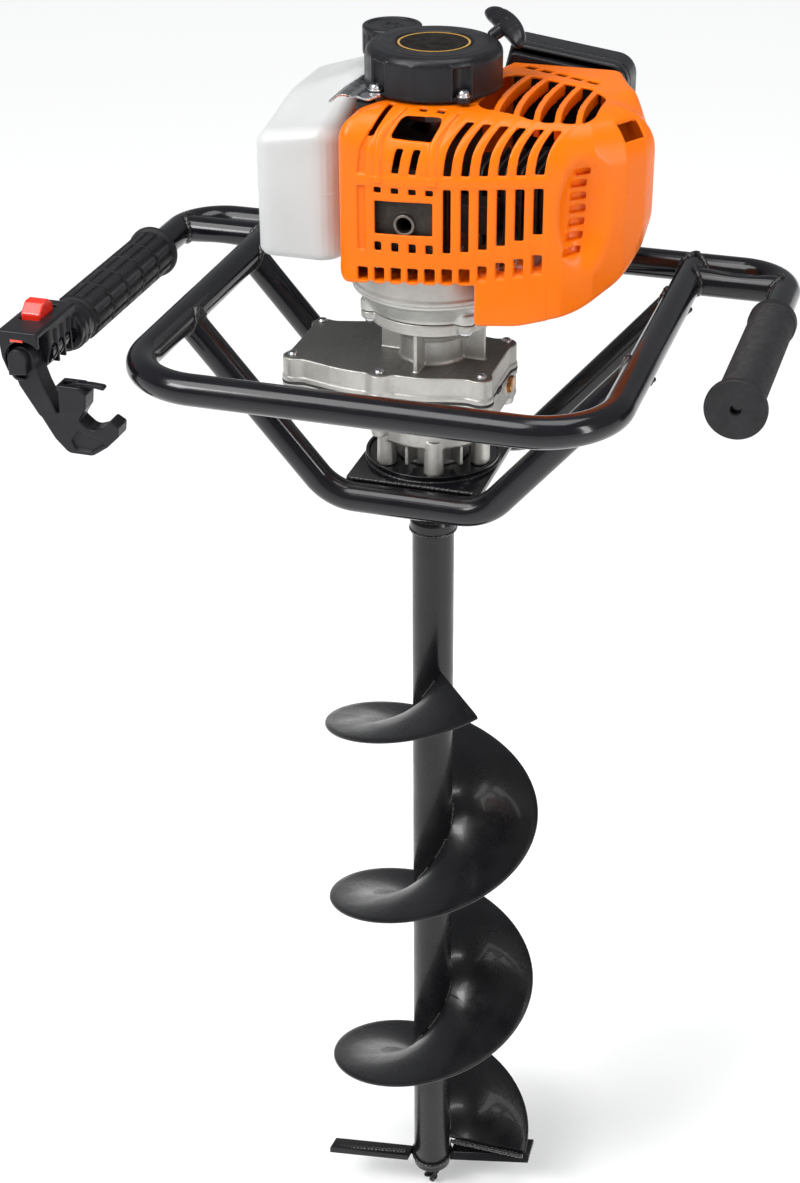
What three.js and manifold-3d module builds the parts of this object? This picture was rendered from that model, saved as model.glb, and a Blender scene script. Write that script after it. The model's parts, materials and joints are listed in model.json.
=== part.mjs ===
// Petrol earth and ice auger: a two-handed tube frame that carries a two-stroke engine, a double
// reduction gearbox and a screw bit. Millimetres, +Z up along the bit, the operator stands on the -Y
// side. The origin is the tip of the pilot point, where it touches the ice.
import * as THREE from 'three';
import { mergeVertices } from 'three/addons/utils/BufferGeometryUtils.js';
import Module from 'manifold-3d';

const wasm = await Module();
wasm.setup();

// ---- driving dimensions -------------------------------------------------------------------------
const GAP = 0.3;                 // between pieces that touch
const PAST = 5;                  // how far a cutter runs past what it cuts

const TUBE_R = 12.7;             // frame tube
const TUBE_WALL = 1.6;
const FRAME_Z = 985;             // plane of the hoop and the handlebar
const HANDLE_X = 276;            // half the distance between the handles
const HOOP_X = 192;
const REAR_Y = 154;
const FRONT_Y = -216;
const CRADLE_Y = 76;
const CRADLE_Z = 838;            // bottom run of the two cradle tubes
const CRADLE_X = 66;             // where the cradle tubes turn up
const PLATE_Z = 843;
const PLATE_T = 6;
const PLATE_HALF_X = 59;
const PLATE_HALF_Y = 63.5;
const PLATE_HOLE_R = 34;
const FLANGE_R = 58.5;
const FLANGE_T = 3.7;
const FLANGE_RIM = 6;

const BIT_R = 100;               // 200 mm bit
const PITCH = 199;
const FLIGHT_T = 4;
const FLIGHT_Z0 = 68;
const FLIGHT_TURNS = 2.86;
const BIT_TUBE_R = 18.5;
const BIT_TUBE_Z0 = 30;
const BIT_TUBE_Z1 = 790;

const GEAR_MODULE = 2;           // both reduction stages are the same pair
const GEAR_TEETH = 43;
const PINION_TEETH = 7;
const GEAR_C = GEAR_MODULE * (GEAR_TEETH + PINION_TEETH) / 2;
const CASE_R = 52;
const CASE_CAVITY_R = GEAR_MODULE * GEAR_TEETH / 2 + 2.8;
const CASE_BOLTS = [[53, -40], [53, 40], [-31, -54], [-31, 54], [-112, -38], [-112, 38]];
const CASE_LOW_Z = 853.3;
const CASE_SPLIT_Z = 921;
const CASE_TOP_Z = 944;
const SHAFT_R = 12.5;

const BELL_TOP_Z = 990;
const FAN_TOP_Z = 1036;
const CRANKCASE_R = 40;
const CYL_Z = 1087;              // height of the cylinder's axis
const CRANK_THROW = 15;
const ROD_LENGTH = 60;
const PISTON_R = 21.5;
const CRANK_R = 8;
const MUFFLER_Y = -86;           // front of the muffler's can

const SHROUD_LEFT = -52;
const SHROUD_RIGHT = 181;
const SHROUD_FRONT = -95;
const SHROUD_BOW = 840;          // how slowly the front wall curves back from its flat left end
const SHROUD_FLAT_X = -20;
const SHROUD_BEND_X = 120;
const SHROUD_WALL = 3;
const SLOT_PITCH = 13.75;
const SLOT_X0 = 35.6;
const DECK_Z = 1172;
const STARTER_R = 54.5;
const STARTER_Z0 = 1174.3;
const STARTER_Z1 = 1208;
const GRIP_R = 17.5;

// [colour, roughness, metalness]
const PAINTS = {
  frame_paint: [0x0c0c0e, 0.25, 0.4], bit_paint: [0x101012, 0.3, 0.4], bright_steel: [0xb8babd, 0.3, 1.0],
  gear_steel: [0x8c8f94, 0.35, 1.0], cast_alloy: [0xa9a8a2, 0.5, 0.8], engine_alloy: [0xbfbfb8, 0.45, 0.8],
  dark_steel: [0x2b2a29, 0.55, 0.8], brass: [0xb5803a, 0.3, 1.0], orange_plastic: [0xff6a00, 0.3, 0.0],
  black_plastic: [0x17171a, 0.4, 0.0], red_plastic: [0xe0261b, 0.4, 0.0], grip_rubber: [0x151517, 0.8, 0.0],
  tank_plastic: [0xeeeeec, 0.35, 0.0], gasket_paper: [0x1c1d1c, 0.8, 0.0], zinc: [0xd0d2d4, 0.25, 1.0],
};

const auger = new THREE.Group();

// ---- helpers ------------------------------------------------------------------------------------
const degrees = (angle) => angle * Math.PI / 180;

function volume(geometry) {
  const position = geometry.attributes.position;
  const [a, b, c] = [new THREE.Vector3(), new THREE.Vector3(), new THREE.Vector3()];
  let sum = 0;
  for (let i = 0; i < geometry.index.count; i += 3) {
    a.fromBufferAttribute(position, geometry.index.getX(i));
    b.fromBufferAttribute(position, geometry.index.getX(i + 1));
    c.fromBufferAttribute(position, geometry.index.getX(i + 2));
    sum += a.dot(b.cross(c)) / 6;
  }
  return sum;
}

function solid(source) {
  let geometry = source.clone();
  geometry.deleteAttribute('normal');
  geometry.deleteAttribute('uv');
  geometry = mergeVertices(geometry, 1e-4);
  const triVerts = Uint32Array.from(geometry.index.array);
  if (volume(geometry) < 0) {
    for (let i = 0; i < triVerts.length; i += 3) {
      [triVerts[i], triVerts[i + 1]] = [triVerts[i + 1], triVerts[i]];
    }
  }
  const vertProperties = Float32Array.from(geometry.attributes.position.array);
  return new wasm.Manifold(new wasm.Mesh({ numProp: 3, vertProperties, triVerts }));
}

function add(name, paint, body, at = [0, 0, 0], turn = 0) {
  const mesh = body.getMesh();
  const geometry = new THREE.BufferGeometry();
  geometry.setAttribute('position', new THREE.BufferAttribute(Float32Array.from(mesh.vertProperties), 3));
  geometry.setIndex(Array.from(mesh.triVerts));
  geometry.computeVertexNormals();
  const [color, roughness, metalness] = PAINTS[paint];
  const piece = new THREE.Mesh(geometry, new THREE.MeshStandardMaterial({ color, roughness, metalness }));
  piece.name = name;
  piece.position.set(...at);
  piece.rotation.z = turn;
  auger.add(piece);
}

const join = (...bodies) => bodies.reduce((sum, body) => sum.add(body));

function rod(r, z0, z1, x = 0, y = 0, sides = 18) {
  const geometry = new THREE.CylinderGeometry(r, r, z1 - z0, sides);
  return solid(geometry.rotateX(Math.PI / 2).translate(x, y, (z0 + z1) / 2));
}

function rodX(r, x0, x1, y, z, sides = 18) {
  return rod(r, 0, x1 - x0, 0, 0, sides).rotate([0, 90, 0]).translate([x0, y, z]);
}

function rodY(r, y0, y1, x, z, sides = 18) {
  return rod(r, 0, y1 - y0, 0, 0, sides).rotate([-90, 0, 0]).translate([x, y0, z]);
}

function block(x0, x1, y0, y1, z0, z1) {
  const geometry = new THREE.BoxGeometry(x1 - x0, y1 - y0, z1 - z0);
  return solid(geometry.translate((x0 + x1) / 2, (y0 + y1) / 2, (z0 + z1) / 2));
}

// A turned piece: profile of [radius, z] points that starts and ends on the axis or closes on itself.
function turned(profile, sides = 20) {
  const points = profile.map(([r, z]) => new THREE.Vector2(r, z));
  return solid(new THREE.LatheGeometry(points, sides).rotateX(Math.PI / 2));
}

const ring = (rIn, rOut, z0, z1) => turned([[rIn, z0], [rOut, z0], [rOut, z1], [rIn, z1], [rIn, z0]]);

function outline(points) {
  return new THREE.Shape(points.map(([x, y]) => new THREE.Vector2(x, y)));
}

function plate(shape, z0, z1) {
  const geometry = new THREE.ExtrudeGeometry(shape, { depth: z1 - z0, bevelEnabled: false, curveSegments: 6 });
  return solid(geometry.translate(0, 0, z0));
}

// The same, for an outline drawn in X and Z and drawn out from y0 to y1.
const slab = (shape, y0, y1) => plate(shape, 0, y1 - y0).rotate([90, 0, 0]).translate([0, y1, 0]);

// A sweep whose rings stand exactly at the given stations, each { at, across, up }.
class Stations extends THREE.Curve {
  constructor(stations) {
    super();
    this.stations = stations;
  }
  getSpacedPoints() {
    return this.stations.map((station) => station.at);
  }
  getPoint(t) {
    return this.stations[Math.round(t * (this.stations.length - 1))].at;
  }
  computeFrenetFrames() {
    const normals = this.stations.map((station) => station.across);
    const binormals = this.stations.map((station) => station.up);
    const tangents = normals.map((normal, i) => new THREE.Vector3().crossVectors(normal, binormals[i]));
    return { tangents, normals, binormals };
  }
}

function sweep(shape, stations) {
  const extrudePath = new Stations(stations);
  const steps = stations.length - 1;
  return solid(new THREE.ExtrudeGeometry(shape, { steps, extrudePath, bevelEnabled: false }));
}

// Rounds the corners of a flat polyline: each point is [x, y, z, bend radius].
function rounded(points, arcSteps = 4) {
  const list = points.map(([x, y, z]) => new THREE.Vector3(x, y, z));
  const route = [list[0]];
  for (let i = 1; i < list.length - 1; i += 1) {
    const before = list[i - 1].clone().sub(list[i]).normalize();
    const after = list[i + 1].clone().sub(list[i]).normalize();
    const half = before.angleTo(after) / 2;
    const reach = points[i][3] / Math.tan(half);
    const toMiddle = before.clone().add(after).normalize().multiplyScalar(points[i][3] / Math.sin(half));
    const middle = toMiddle.add(list[i]);
    const first = before.clone().multiplyScalar(reach).add(list[i]).sub(middle);
    const axis = new THREE.Vector3().crossVectors(before, after).normalize();
    for (let step = 0; step <= arcSteps; step += 1) {
      const angle = -(Math.PI - 2 * half) * step / arcSteps;
      route.push(first.clone().applyAxisAngle(axis, angle).add(middle));
    }
  }
  route.push(list[list.length - 1]);
  return route;
}

// A hollow tube along a flat route; flat is the normal of the plane that the route lies in.
function tube(points, flat, r = TUBE_R, wall = TUBE_WALL, sides = 12) {
  const route = rounded(points);
  const stations = route.map((at, i) => {
    const along = route[Math.min(i + 1, route.length - 1)].clone().sub(route[Math.max(i - 1, 0)]).normalize();
    return { at, across: new THREE.Vector3().crossVectors(flat, along).normalize(), up: flat };
  });
  const circle = (radius, count) => Array.from({ length: count }, (_, i) => {
    const angle = 2 * Math.PI * i / count;
    return new THREE.Vector2(radius * Math.cos(angle), radius * Math.sin(angle));
  });
  const shape = new THREE.Shape(circle(r, sides));
  if (wall) shape.holes.push(new THREE.Path(circle(r - wall, sides / 2)));
  return sweep(shape, stations);
}

const UP = new THREE.Vector3(0, 0, 1);
const BACK = new THREE.Vector3(0, 1, 0);

// ---- frame --------------------------------------------------------------------------------------
const HANDLE_BEND = 42;
const HOOP_BEND = 62;
const CRADLE_BEND = 45;
const GUSSET_Y = REAR_Y - 33;
const LEFT_TUBE_END = -178;
const RIGHT_TUBE_END = -128;
const COPE_R = TUBE_R + GAP;
const GUSSET_R = 12;

function makeHandlebar() {
  add('handlebar_tube', 'frame_paint', tube([[-HANDLE_X, LEFT_TUBE_END, FRAME_Z],
    [-HANDLE_X, REAR_Y, FRAME_Z, HANDLE_BEND], [HANDLE_X, REAR_Y, FRAME_Z, HANDLE_BEND],
    [HANDLE_X, RIGHT_TUBE_END, FRAME_Z]], UP));
}

function makeHoop() {
  const hoop = tube([[-HOOP_X, REAR_Y, FRAME_Z], [-HOOP_X, FRONT_Y, FRAME_Z, HOOP_BEND],
    [HOOP_X, FRONT_Y, FRAME_Z, HOOP_BEND], [HOOP_X, REAR_Y, FRAME_Z]], UP);
  const cope = rodX(COPE_R, -HANDLE_X, HANDLE_X, REAR_Y, FRAME_Z, 20);
  add('hoop_tube', 'frame_paint', hoop.subtract(cope));
}

function makeCradle(name, y) {
  const cradle = tube([[-HOOP_X, y, FRAME_Z], [-CRADLE_X, y, CRADLE_Z, CRADLE_BEND],
    [CRADLE_X, y, CRADLE_Z, CRADLE_BEND], [HOOP_X, y, FRAME_Z]], BACK);
  const cope = (x) => rodY(COPE_R, -REAR_Y, REAR_Y, x, FRAME_Z, 20);
  add(name, 'frame_paint', cradle.subtract(cope(HOOP_X)).subtract(cope(-HOOP_X)));
}

function makeGusset(name, side) {
  const ends = [[side * HOOP_X, GUSSET_Y, FRAME_Z], [side * HANDLE_X, GUSSET_Y, FRAME_Z]];
  const gusset = tube(ends, UP, GUSSET_R);
  const hoopLeg = rodY(COPE_R, 0, REAR_Y, side * HOOP_X, FRAME_Z, 20);
  const handle = tube([[side * HANDLE_X, 0, FRAME_Z], [side * HANDLE_X, REAR_Y, FRAME_Z, HANDLE_BEND],
    [0, REAR_Y, FRAME_Z]], UP, COPE_R + 0.2, 0);
  add(name, 'frame_paint', gusset.subtract(hoopLeg).subtract(handle));
}

function makeBasePlate() {
  const top = PLATE_Z + PLATE_T;
  const square = block(-PLATE_HALF_X, PLATE_HALF_X, -PLATE_HALF_Y, PLATE_HALF_Y, PLATE_Z, top);
  add('base_plate', 'frame_paint', square.subtract(rod(PLATE_HOLE_R, PLATE_Z - PAST, top + PAST)));
  const z = top + GAP;
  const rimIn = FLANGE_R - 2.7;
  add('flange_ring', 'frame_paint', turned([[PLATE_HOLE_R, z], [FLANGE_R, z], [FLANGE_R, z + FLANGE_RIM],
    [rimIn, z + FLANGE_RIM], [rimIn - 0.8, z + FLANGE_T], [PLATE_HOLE_R, z + FLANGE_T], [PLATE_HOLE_R, z]]));
}

// ---- grips and throttle --------------------------------------------------------------------------
const GRIP_BORE = TUBE_R + GAP;
const LEFT_GRIP = { from: -112, to: 58, flangeR: 23 };
const RIGHT_GRIP = { end: -134, start: 51, r: 18.5, collarR: 20, endR: 24.5, holeR: 4.5, endT: 5 };
const TRIGGER_X = -282;          // hinge of the throttle trigger
const TRIGGER_Z = 985;
const TRIGGER_PIN_R = 3.5;
const HOUSING = { x0: -299, x1: -264, y0: -204, y1: -132, z0: 967, z1: 1010 };
const SLOT_Y0 = HOUSING.y0 + 4.5;
const SLOT_Y1 = -181.5;
const LATCH_Y0 = -193.5;
const LATCH_Y1 = -187.5;
const SWITCH = { x: -283, width: 17, y0: -174, y1: -150, seat: 3 };

function makeGrips() {
  const { from, to, flangeR } = LEFT_GRIP;
  const left = turned([[GRIP_BORE, from], [GRIP_R, from], [GRIP_R, to - 8], [flangeR, to - 6],
    [flangeR, to - 2], [flangeR - 2, to], [GRIP_BORE, to], [GRIP_BORE, from]]);
  add('left_grip', 'grip_rubber', left.rotate([-90, 0, 0]).translate([-HANDLE_X, 0, FRAME_Z]));
  const { end, start, r, collarR, endR, holeR, endT } = RIGHT_GRIP;
  const right = turned([[holeR, end], [endR, end], [endR, end + 6], [r + 1, end + 8], [r, end + 14],
    [r, start - 13], [collarR, start - 11], [collarR, start - 2], [collarR - 2, start], [GRIP_BORE, start],
    [GRIP_BORE, end + endT], [holeR, end + endT], [holeR, end]]);
  add('right_grip', 'grip_rubber', right.rotate([-90, 0, 0]).translate([HANDLE_X, 0, FRAME_Z]));
}

function makeThrottleHousing() {
  const { x0, x1, y0, y1, z0, z1 } = HOUSING;
  const body = outline([[x0 + 6, z0], [x1 - 4, z0], [x1, z0 + 6], [x1, z1], [x0, z1], [x0, z0 + 12]]);
  const neck = rodY(19, y1 - 1, -112.3, -HANDLE_X, FRAME_Z);
  const boss = rodY(9, y0 - 3, y0 + 1, TRIGGER_X, TRIGGER_Z);
  const pin = rodY(TRIGGER_PIN_R, y0, SLOT_Y1 - GAP, TRIGGER_X, TRIGGER_Z, 20);
  const bore = rodY(GRIP_BORE, SLOT_Y1 + 3, 0, -HANDLE_X, FRAME_Z);
  const slot = block(x0 - PAST, x1 + PAST, SLOT_Y0, SLOT_Y1, z0 - PAST, z1 - 5);
  const { x, width, seat } = SWITCH;
  const half = width / 2 + 0.5;
  const switchPocket = block(x - half, x + half, SWITCH.y0 - 4, SWITCH.y1 + 8, z1 - seat, z1 + PAST);
  const housing = join(slab(body, y0, y1), neck, boss).subtract(bore).subtract(slot).subtract(switchPocket);
  add('throttle_housing', 'black_plastic', housing.add(pin));
}

function makeKillSwitch() {
  const z = HOUSING.z1 - SWITCH.seat + GAP;
  const { x, width, y0, y1 } = SWITCH;
  const profile = outline([[y0, z], [y1, z], [y1, z + 10], [y1 - 5, z + 14], [y0 + 8, z + 13], [y0, z + 6]]);
  const wedge = plate(profile, 0, width).rotate([90, 0, 0]).rotate([0, 0, 90]);
  add('kill_switch', 'red_plastic', wedge.translate([x - width / 2, 0, 0]));
}

function makeTrigger() {
  const shape = new THREE.Shape();
  shape.moveTo(TRIGGER_X - 9, 976);
  shape.lineTo(-274, 932);
  shape.quadraticCurveTo(-264, 909, -246, 907);
  shape.quadraticCurveTo(-228, 906, -214, 918);
  shape.lineTo(-202, 929);
  shape.lineTo(-201, 937);
  shape.lineTo(-209, 941);
  shape.lineTo(-219, 932);
  shape.quadraticCurveTo(-238, 921, -239, 944);
  shape.lineTo(-239, 966);
  shape.lineTo(-258, 966);
  shape.lineTo(-259, 946);
  shape.lineTo(TRIGGER_X + 9, 978);
  const hub = rodY(11, SLOT_Y0 + GAP, SLOT_Y1 - GAP, TRIGGER_X, TRIGGER_Z);
  const arm = slab(shape, SLOT_Y0 + GAP, SLOT_Y1 - GAP);
  const hinge = rodY(TRIGGER_PIN_R + GAP, SLOT_Y0 - PAST, SLOT_Y1 + PAST, TRIGGER_X, TRIGGER_Z, 20);
  const latchSlot = block(-250, -238, LATCH_Y0 - 0.5, LATCH_Y1 + 0.5, 955, 970);
  add('throttle_trigger', 'black_plastic', join(hub, arm).subtract(hinge).subtract(latchSlot));
}

function makeTriggerLatch() {
  const shape = outline([[-249, 958], [-243, 958], [-234, 962], [-224, 964], [-214, 962], [-214, 965],
    [-224, 968], [-236, 967], [-243, 965], [-249, 963]]);
  add('trigger_latch', 'black_plastic', slab(shape, LATCH_Y0, LATCH_Y1));
}

// ---- gearbox ------------------------------------------------------------------------------------
const INPUT_SHAFT_R = 4;
const DRUM_R = 43;
const DRUM_Z0 = 984;
const DRUM_Z1 = 1004;
const GEAR_Z = 906;
const GEAR_T = 10;
const IDLER_GEAR_Z = 919;
const BEARING_R = 20.7;
const BOSS_ANGLE0 = -73;         // six screw bosses around the hub
const RIB_ANGLE0 = -93;          // four ribs under the bell
const BOSS_CIRCLE_R = 46;
const BOSS_R = 8.5;
const HUB_R = 50;
const HUB_FOOT_R = 31;
const NECK_R = 27.5;
const BELL_R = 54;
const CASE_FLOOR_Z = 894;
const CASE_ROOF_Z = 934;         // inside of the upper case
const IDLER_PIN_R = 4;
const IDLER_PIN_Z0 = 897.5;
const IDLER_PIN_Z1 = 939.5;
const OIL_PLUG = { y: 24, z: 913, r: 4 };

const lobes = (z0, z1) => join(...CASE_BOLTS.map(([x, y]) => rod(9, z0, z1, x, y, 10)));

function caseBody(z0, z1) {
  const half = [[59, 34], [57, 40], [44, 45], [0, CASE_R], [-31, 58], [-116, 42], [-119, 34]];
  const mirrored = half.map(([x, y]) => [x, -y]).reverse();
  const plan = outline([...half, ...mirrored]);
  return join(plate(plan, z0, z1), lobes(z0, z1));
}

function caseCavity(z0, z1) {
  const between = block(-GEAR_C, 0, -CASE_CAVITY_R, CASE_CAVITY_R, z0, z1);
  return join(rod(CASE_CAVITY_R, z0, z1, 0, 0, 22), rod(CASE_CAVITY_R, z0, z1, -GEAR_C, 0, 40), between);
}

function makeLowerCase() {
  const bosses = [];
  for (let i = 0; i < 6; i += 1) {
    const angle = degrees(BOSS_ANGLE0 + 60 * i);
    const [x, y] = [BOSS_CIRCLE_R * Math.cos(angle), BOSS_CIRCLE_R * Math.sin(angle)];
    bosses.push(rod(BOSS_R, CASE_LOW_Z, 882, x, y, 10));
  }
  const hub = turned([[0, CASE_LOW_Z], [HUB_FOOT_R, CASE_LOW_Z], [HUB_FOOT_R, 874], [HUB_R, 879],
    [HUB_R, GEAR_Z - 6], [0, GEAR_Z - 6]], 22);
  const body = join(hub, ...bosses, caseBody(CASE_FLOOR_Z, CASE_SPLIT_Z));
  const bore = rod(BEARING_R + 2 * GAP, CASE_LOW_Z - PAST, GEAR_Z, 0, 0, 20);
  const pocket = rod(IDLER_PIN_R + 0.4, IDLER_PIN_Z0 - 0.5, GEAR_Z, -GEAR_C, 0, 16);
  const plugHole = rodX(OIL_PLUG.r + GAP, CASE_CAVITY_R - 12, 70, OIL_PLUG.y, OIL_PLUG.z, 12);
  add('gearbox_lower_case', 'cast_alloy', body.subtract(bore).subtract(pocket).subtract(plugHole)
    .subtract(caseCavity(GEAR_Z - 1.5, CASE_SPLIT_Z + PAST)));
  const gasket = caseBody(CASE_SPLIT_Z + GAP, CASE_SPLIT_Z + 1.3);
  add('gearbox_gasket', 'gasket_paper', gasket.subtract(caseCavity(CASE_SPLIT_Z, CASE_SPLIT_Z + 2)));
}

function makeUpperCase() {
  const z = CASE_SPLIT_Z + 1.6;
  const neck = turned([[0, CASE_TOP_Z - 2], [NECK_R, CASE_TOP_Z - 2], [NECK_R, 972], [38, 975], [44, 980],
    [BELL_R - 1, 981], [BELL_R, BELL_TOP_Z], [0, BELL_TOP_Z]], 22);
  const ribs = [];
  for (let i = 0; i < 4; i += 1) {
    ribs.push(block(20, 46, -2, 2, CASE_TOP_Z - 1, BELL_TOP_Z - 8).rotate([0, 0, RIB_ANGLE0 + 90 * i]));
  }
  const room = turned([[0, CASE_ROOF_Z - 2], [8.6, CASE_ROOF_Z - 2], [8.6, 960], [18, 966], [18, 974],
    [36, 978], [46, 984], [46, BELL_TOP_Z + PAST], [0, BELL_TOP_Z + PAST]], 22);
  const pocket = rod(IDLER_PIN_R + 0.4, CASE_ROOF_Z - PAST, IDLER_PIN_Z1 + 0.5, -GEAR_C, 0, 16);
  add('gearbox_upper_case', 'cast_alloy', join(caseBody(z, CASE_TOP_Z), neck, ...ribs).subtract(room)
    .subtract(pocket).subtract(caseCavity(z - PAST, CASE_ROOF_Z)));
}

function makeOilPlug() {
  const { y, z, r } = OIL_PLUG;
  const head = new THREE.CylinderGeometry(7.5, 7.5, 5, 6).rotateZ(Math.PI / 2).translate(61.8, y, z);
  add('oil_plug', 'brass', join(rodX(r, CASE_CAVITY_R + 1, 60, y, z, 12), solid(head)));
}

function bearing(name, rIn, rOut, z0, z1) {
  add(name, 'gear_steel', ring(rIn, rOut, z0, z1));
}

// Straight-flanked spur teeth, slim enough to run with backlash; a tooth stands at angle start.
function gear(teeth, bore, start, z0, z1) {
  const pitchR = GEAR_MODULE * teeth / 2;
  const root = pitchR - 1.2 * GEAR_MODULE;
  const tip = pitchR + 0.8 * GEAR_MODULE;
  const points = [];
  for (let i = 0; i < teeth; i += 1) {
    const centre = start + 2 * Math.PI * i / teeth;
    for (const [r, half] of [[root, -1.3], [tip, -0.6], [tip, 0.6], [root, 1.3]]) {
      const angle = centre + half / r;
      points.push([r * Math.cos(angle), r * Math.sin(angle)]);
    }
  }
  const body = plate(outline(points), z0, z1);
  return bore ? body.subtract(rod(bore, z0 - PAST, z1 + PAST, 0, 0, 16)) : body;
}

function makeGears() {
  add('output_gear', 'gear_steel', gear(GEAR_TEETH, SHAFT_R + GAP, Math.PI, GEAR_Z, GEAR_Z + GEAR_T));
  const at = [-GEAR_C, 0, 0];
  const gap = Math.PI / PINION_TEETH;
  const pinion = gear(PINION_TEETH, 0, gap, GEAR_Z - 0.5, GEAR_Z + GEAR_T + 0.5);
  add('idler_shaft', 'gear_steel', join(pinion, rod(IDLER_PIN_R, IDLER_PIN_Z0, IDLER_PIN_Z1, 0, 0, 16)), at);
  const large = gear(GEAR_TEETH, IDLER_PIN_R + GAP, 0, IDLER_GEAR_Z, IDLER_GEAR_Z + GEAR_T);
  add('idler_gear', 'gear_steel', large, at);
  const input = gear(PINION_TEETH, 0, Math.PI + gap, IDLER_GEAR_Z - 0.5, IDLER_GEAR_Z + GEAR_T + 0.5);
  add('input_pinion', 'gear_steel', join(input, rod(INPUT_SHAFT_R, IDLER_GEAR_Z, DRUM_Z0 + 2, 0, 0, 16)));
}

// ---- clutch and engine --------------------------------------------------------------------------
function makeClutch() {
  const bore = INPUT_SHAFT_R + GAP;
  const drum = turned([[bore, 958], [8, 958], [8, DRUM_Z0], [DRUM_R - 3, DRUM_Z0 + 2], [DRUM_R, DRUM_Z0 + 5],
    [DRUM_R, DRUM_Z1], [DRUM_R - 3, DRUM_Z1], [DRUM_R - 3, DRUM_Z0 + 5], [bore, DRUM_Z0 + 3], [bore, 958]], 24);
  add('clutch_drum', 'dark_steel', drum);
  const [z0, z1] = [DRUM_Z0 + 7, DRUM_Z1 - 1];
  const hub = CRANK_R + GAP;
  const rotor = turned([[hub, z0], [36, z0], [36, z1], [hub, z1], [hub, z0]], 24);
  const slot = (angle) => block(16, DRUM_R, -1.5, 1.5, z0 - PAST, z1 + PAST).rotate([0, 0, angle]);
  const slots = [0, 120, 240].map(slot);
  add('clutch_rotor', 'gear_steel', rotor.subtract(join(...slots)));
}

function makeFanHousing() {
  const z = BELL_TOP_Z + GAP;
  const shell = turned([[46, z], [BELL_R, z], [67, 1008], [67, FAN_TOP_Z], [63, FAN_TOP_Z], [63, 1010],
    [52, 995], [46, 995], [46, z]], 24);
  add('fan_housing', 'engine_alloy', shell);
  const bore = CRANK_R + GAP;
  const hub = turned([[bore, 1007], [16, 1007], [16, 1012], [58, 1012], [58, 1017], [16, 1017], [16, 1030],
    [bore, 1030], [bore, 1007]], 24);
  const blades = [];
  for (let i = 0; i < 6; i += 1) blades.push(block(26, 57, -1.2, 1.2, 1016, 1029).rotate([0, 0, 60 * i]));
  add('flywheel', 'engine_alloy', join(hub, ...blades));
}

function makeCrankcase() {
  const z0 = FAN_TOP_Z + GAP;
  const flat = block(36, 60, -60, 60, 1040, 1160);
  const room = rod(30, 1066, 1108, 0, 0, 24);
  const port = rodX(22.6, 10, 60, 0, CYL_Z, 32);
  const shaftHole = (a, b) => rod(18, a, b);
  const lower = join(rod(66, z0, z0 + 3.2, 0, 0, 26), rod(CRANKCASE_R, z0, CYL_Z, 0, 0, 24)).subtract(room)
    .subtract(port).subtract(flat).subtract(shaftHole(z0 - PAST, 1070));
  add('crankcase_lower', 'engine_alloy', lower);
  const upper = join(rod(CRANKCASE_R, CYL_Z + GAP, 1140, 0, 0, 24)).subtract(room).subtract(port).subtract(flat)
    .subtract(shaftHole(1100, 1145));
  add('crankcase_upper', 'engine_alloy', upper);
}

function makeCrank() {
  const lower = turned([[0, 989], [CRANK_R, 989], [CRANK_R, 1069], [26, 1069], [26, 1079], [0, 1079]], 22);
  add('crank_lower', 'gear_steel', lower);
  const upper = turned([[0, 1095], [26, 1095], [26, 1105], [CRANK_R, 1105], [CRANK_R, 1148], [24, 1150],
    [24, 1164], [20, 1164], [20, 1154], [0, 1154]], 22);
  add('crank_upper', 'gear_steel', upper);
}

function makePiston() {
  const wristX = CRANK_THROW + ROD_LENGTH;
  const crown = rodX(PISTON_R, wristX - 14, wristX + 14, 0, CYL_Z);
  const skirt = rodX(17.5, wristX - 14 - PAST, wristX + 8, 0, CYL_Z);
  add('piston', 'engine_alloy', crown.subtract(skirt));
  const shank = block(CRANK_THROW, wristX, -4.5, 4.5, CYL_Z - 3.5, CYL_Z + 3.5);
  const big = rod(11, CYL_Z - 4.5, CYL_Z + 4.5, CRANK_THROW, 0, 24);
  const small = rod(8, CYL_Z - 4.5, CYL_Z + 4.5, wristX, 0, 24).intersect(rodX(17, 0, wristX + 7.5, 0, CYL_Z));
  const hole = rod(5.8, CYL_Z - 20, CYL_Z + 20, CRANK_THROW, 0, 20);
  add('connecting_rod', 'gear_steel', join(shank, big, small).subtract(hole));
  add('crankpin', 'gear_steel', rod(5.5, CYL_Z - 7, CYL_Z + 7, CRANK_THROW, 0, 20));
}

function makeCylinder() {
  const x0 = 36 + GAP;
  const barrel = rodX(27, x0, 106, 0, CYL_Z);
  const fins = [];
  for (let i = 0; i < 4; i += 1) fins.push(block(50 + 14 * i, 55 + 14 * i, -33, 33, CYL_Z - 33, CYL_Z + 33));
  const foot = block(x0, x0 + 5, -28, 28, CYL_Z - 28, CYL_Z + 28);
  const bore = rodX(PISTON_R + 0.5, 0, 98, 0, CYL_Z);
  const plugHole = rodX(6.3, 90, 120, 0, CYL_Z, 14);
  const body = join(barrel, foot, ...fins).subtract(bore).subtract(plugHole);
  add('cylinder', 'engine_alloy', body);
  const plug = rodX(6, 94, 107, 0, CYL_Z, 14);
  const hex = solid(new THREE.CylinderGeometry(10, 10, 8, 6).rotateZ(Math.PI / 2).translate(111, 0, CYL_Z));
  const [post, boot] = [rodX(6, 114, 132, 0, CYL_Z, 14), rodX(10, 130, 156, 0, CYL_Z, 14)];
  add('spark_plug', 'black_plastic', join(plug, hex, post, boot));
}

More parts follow.
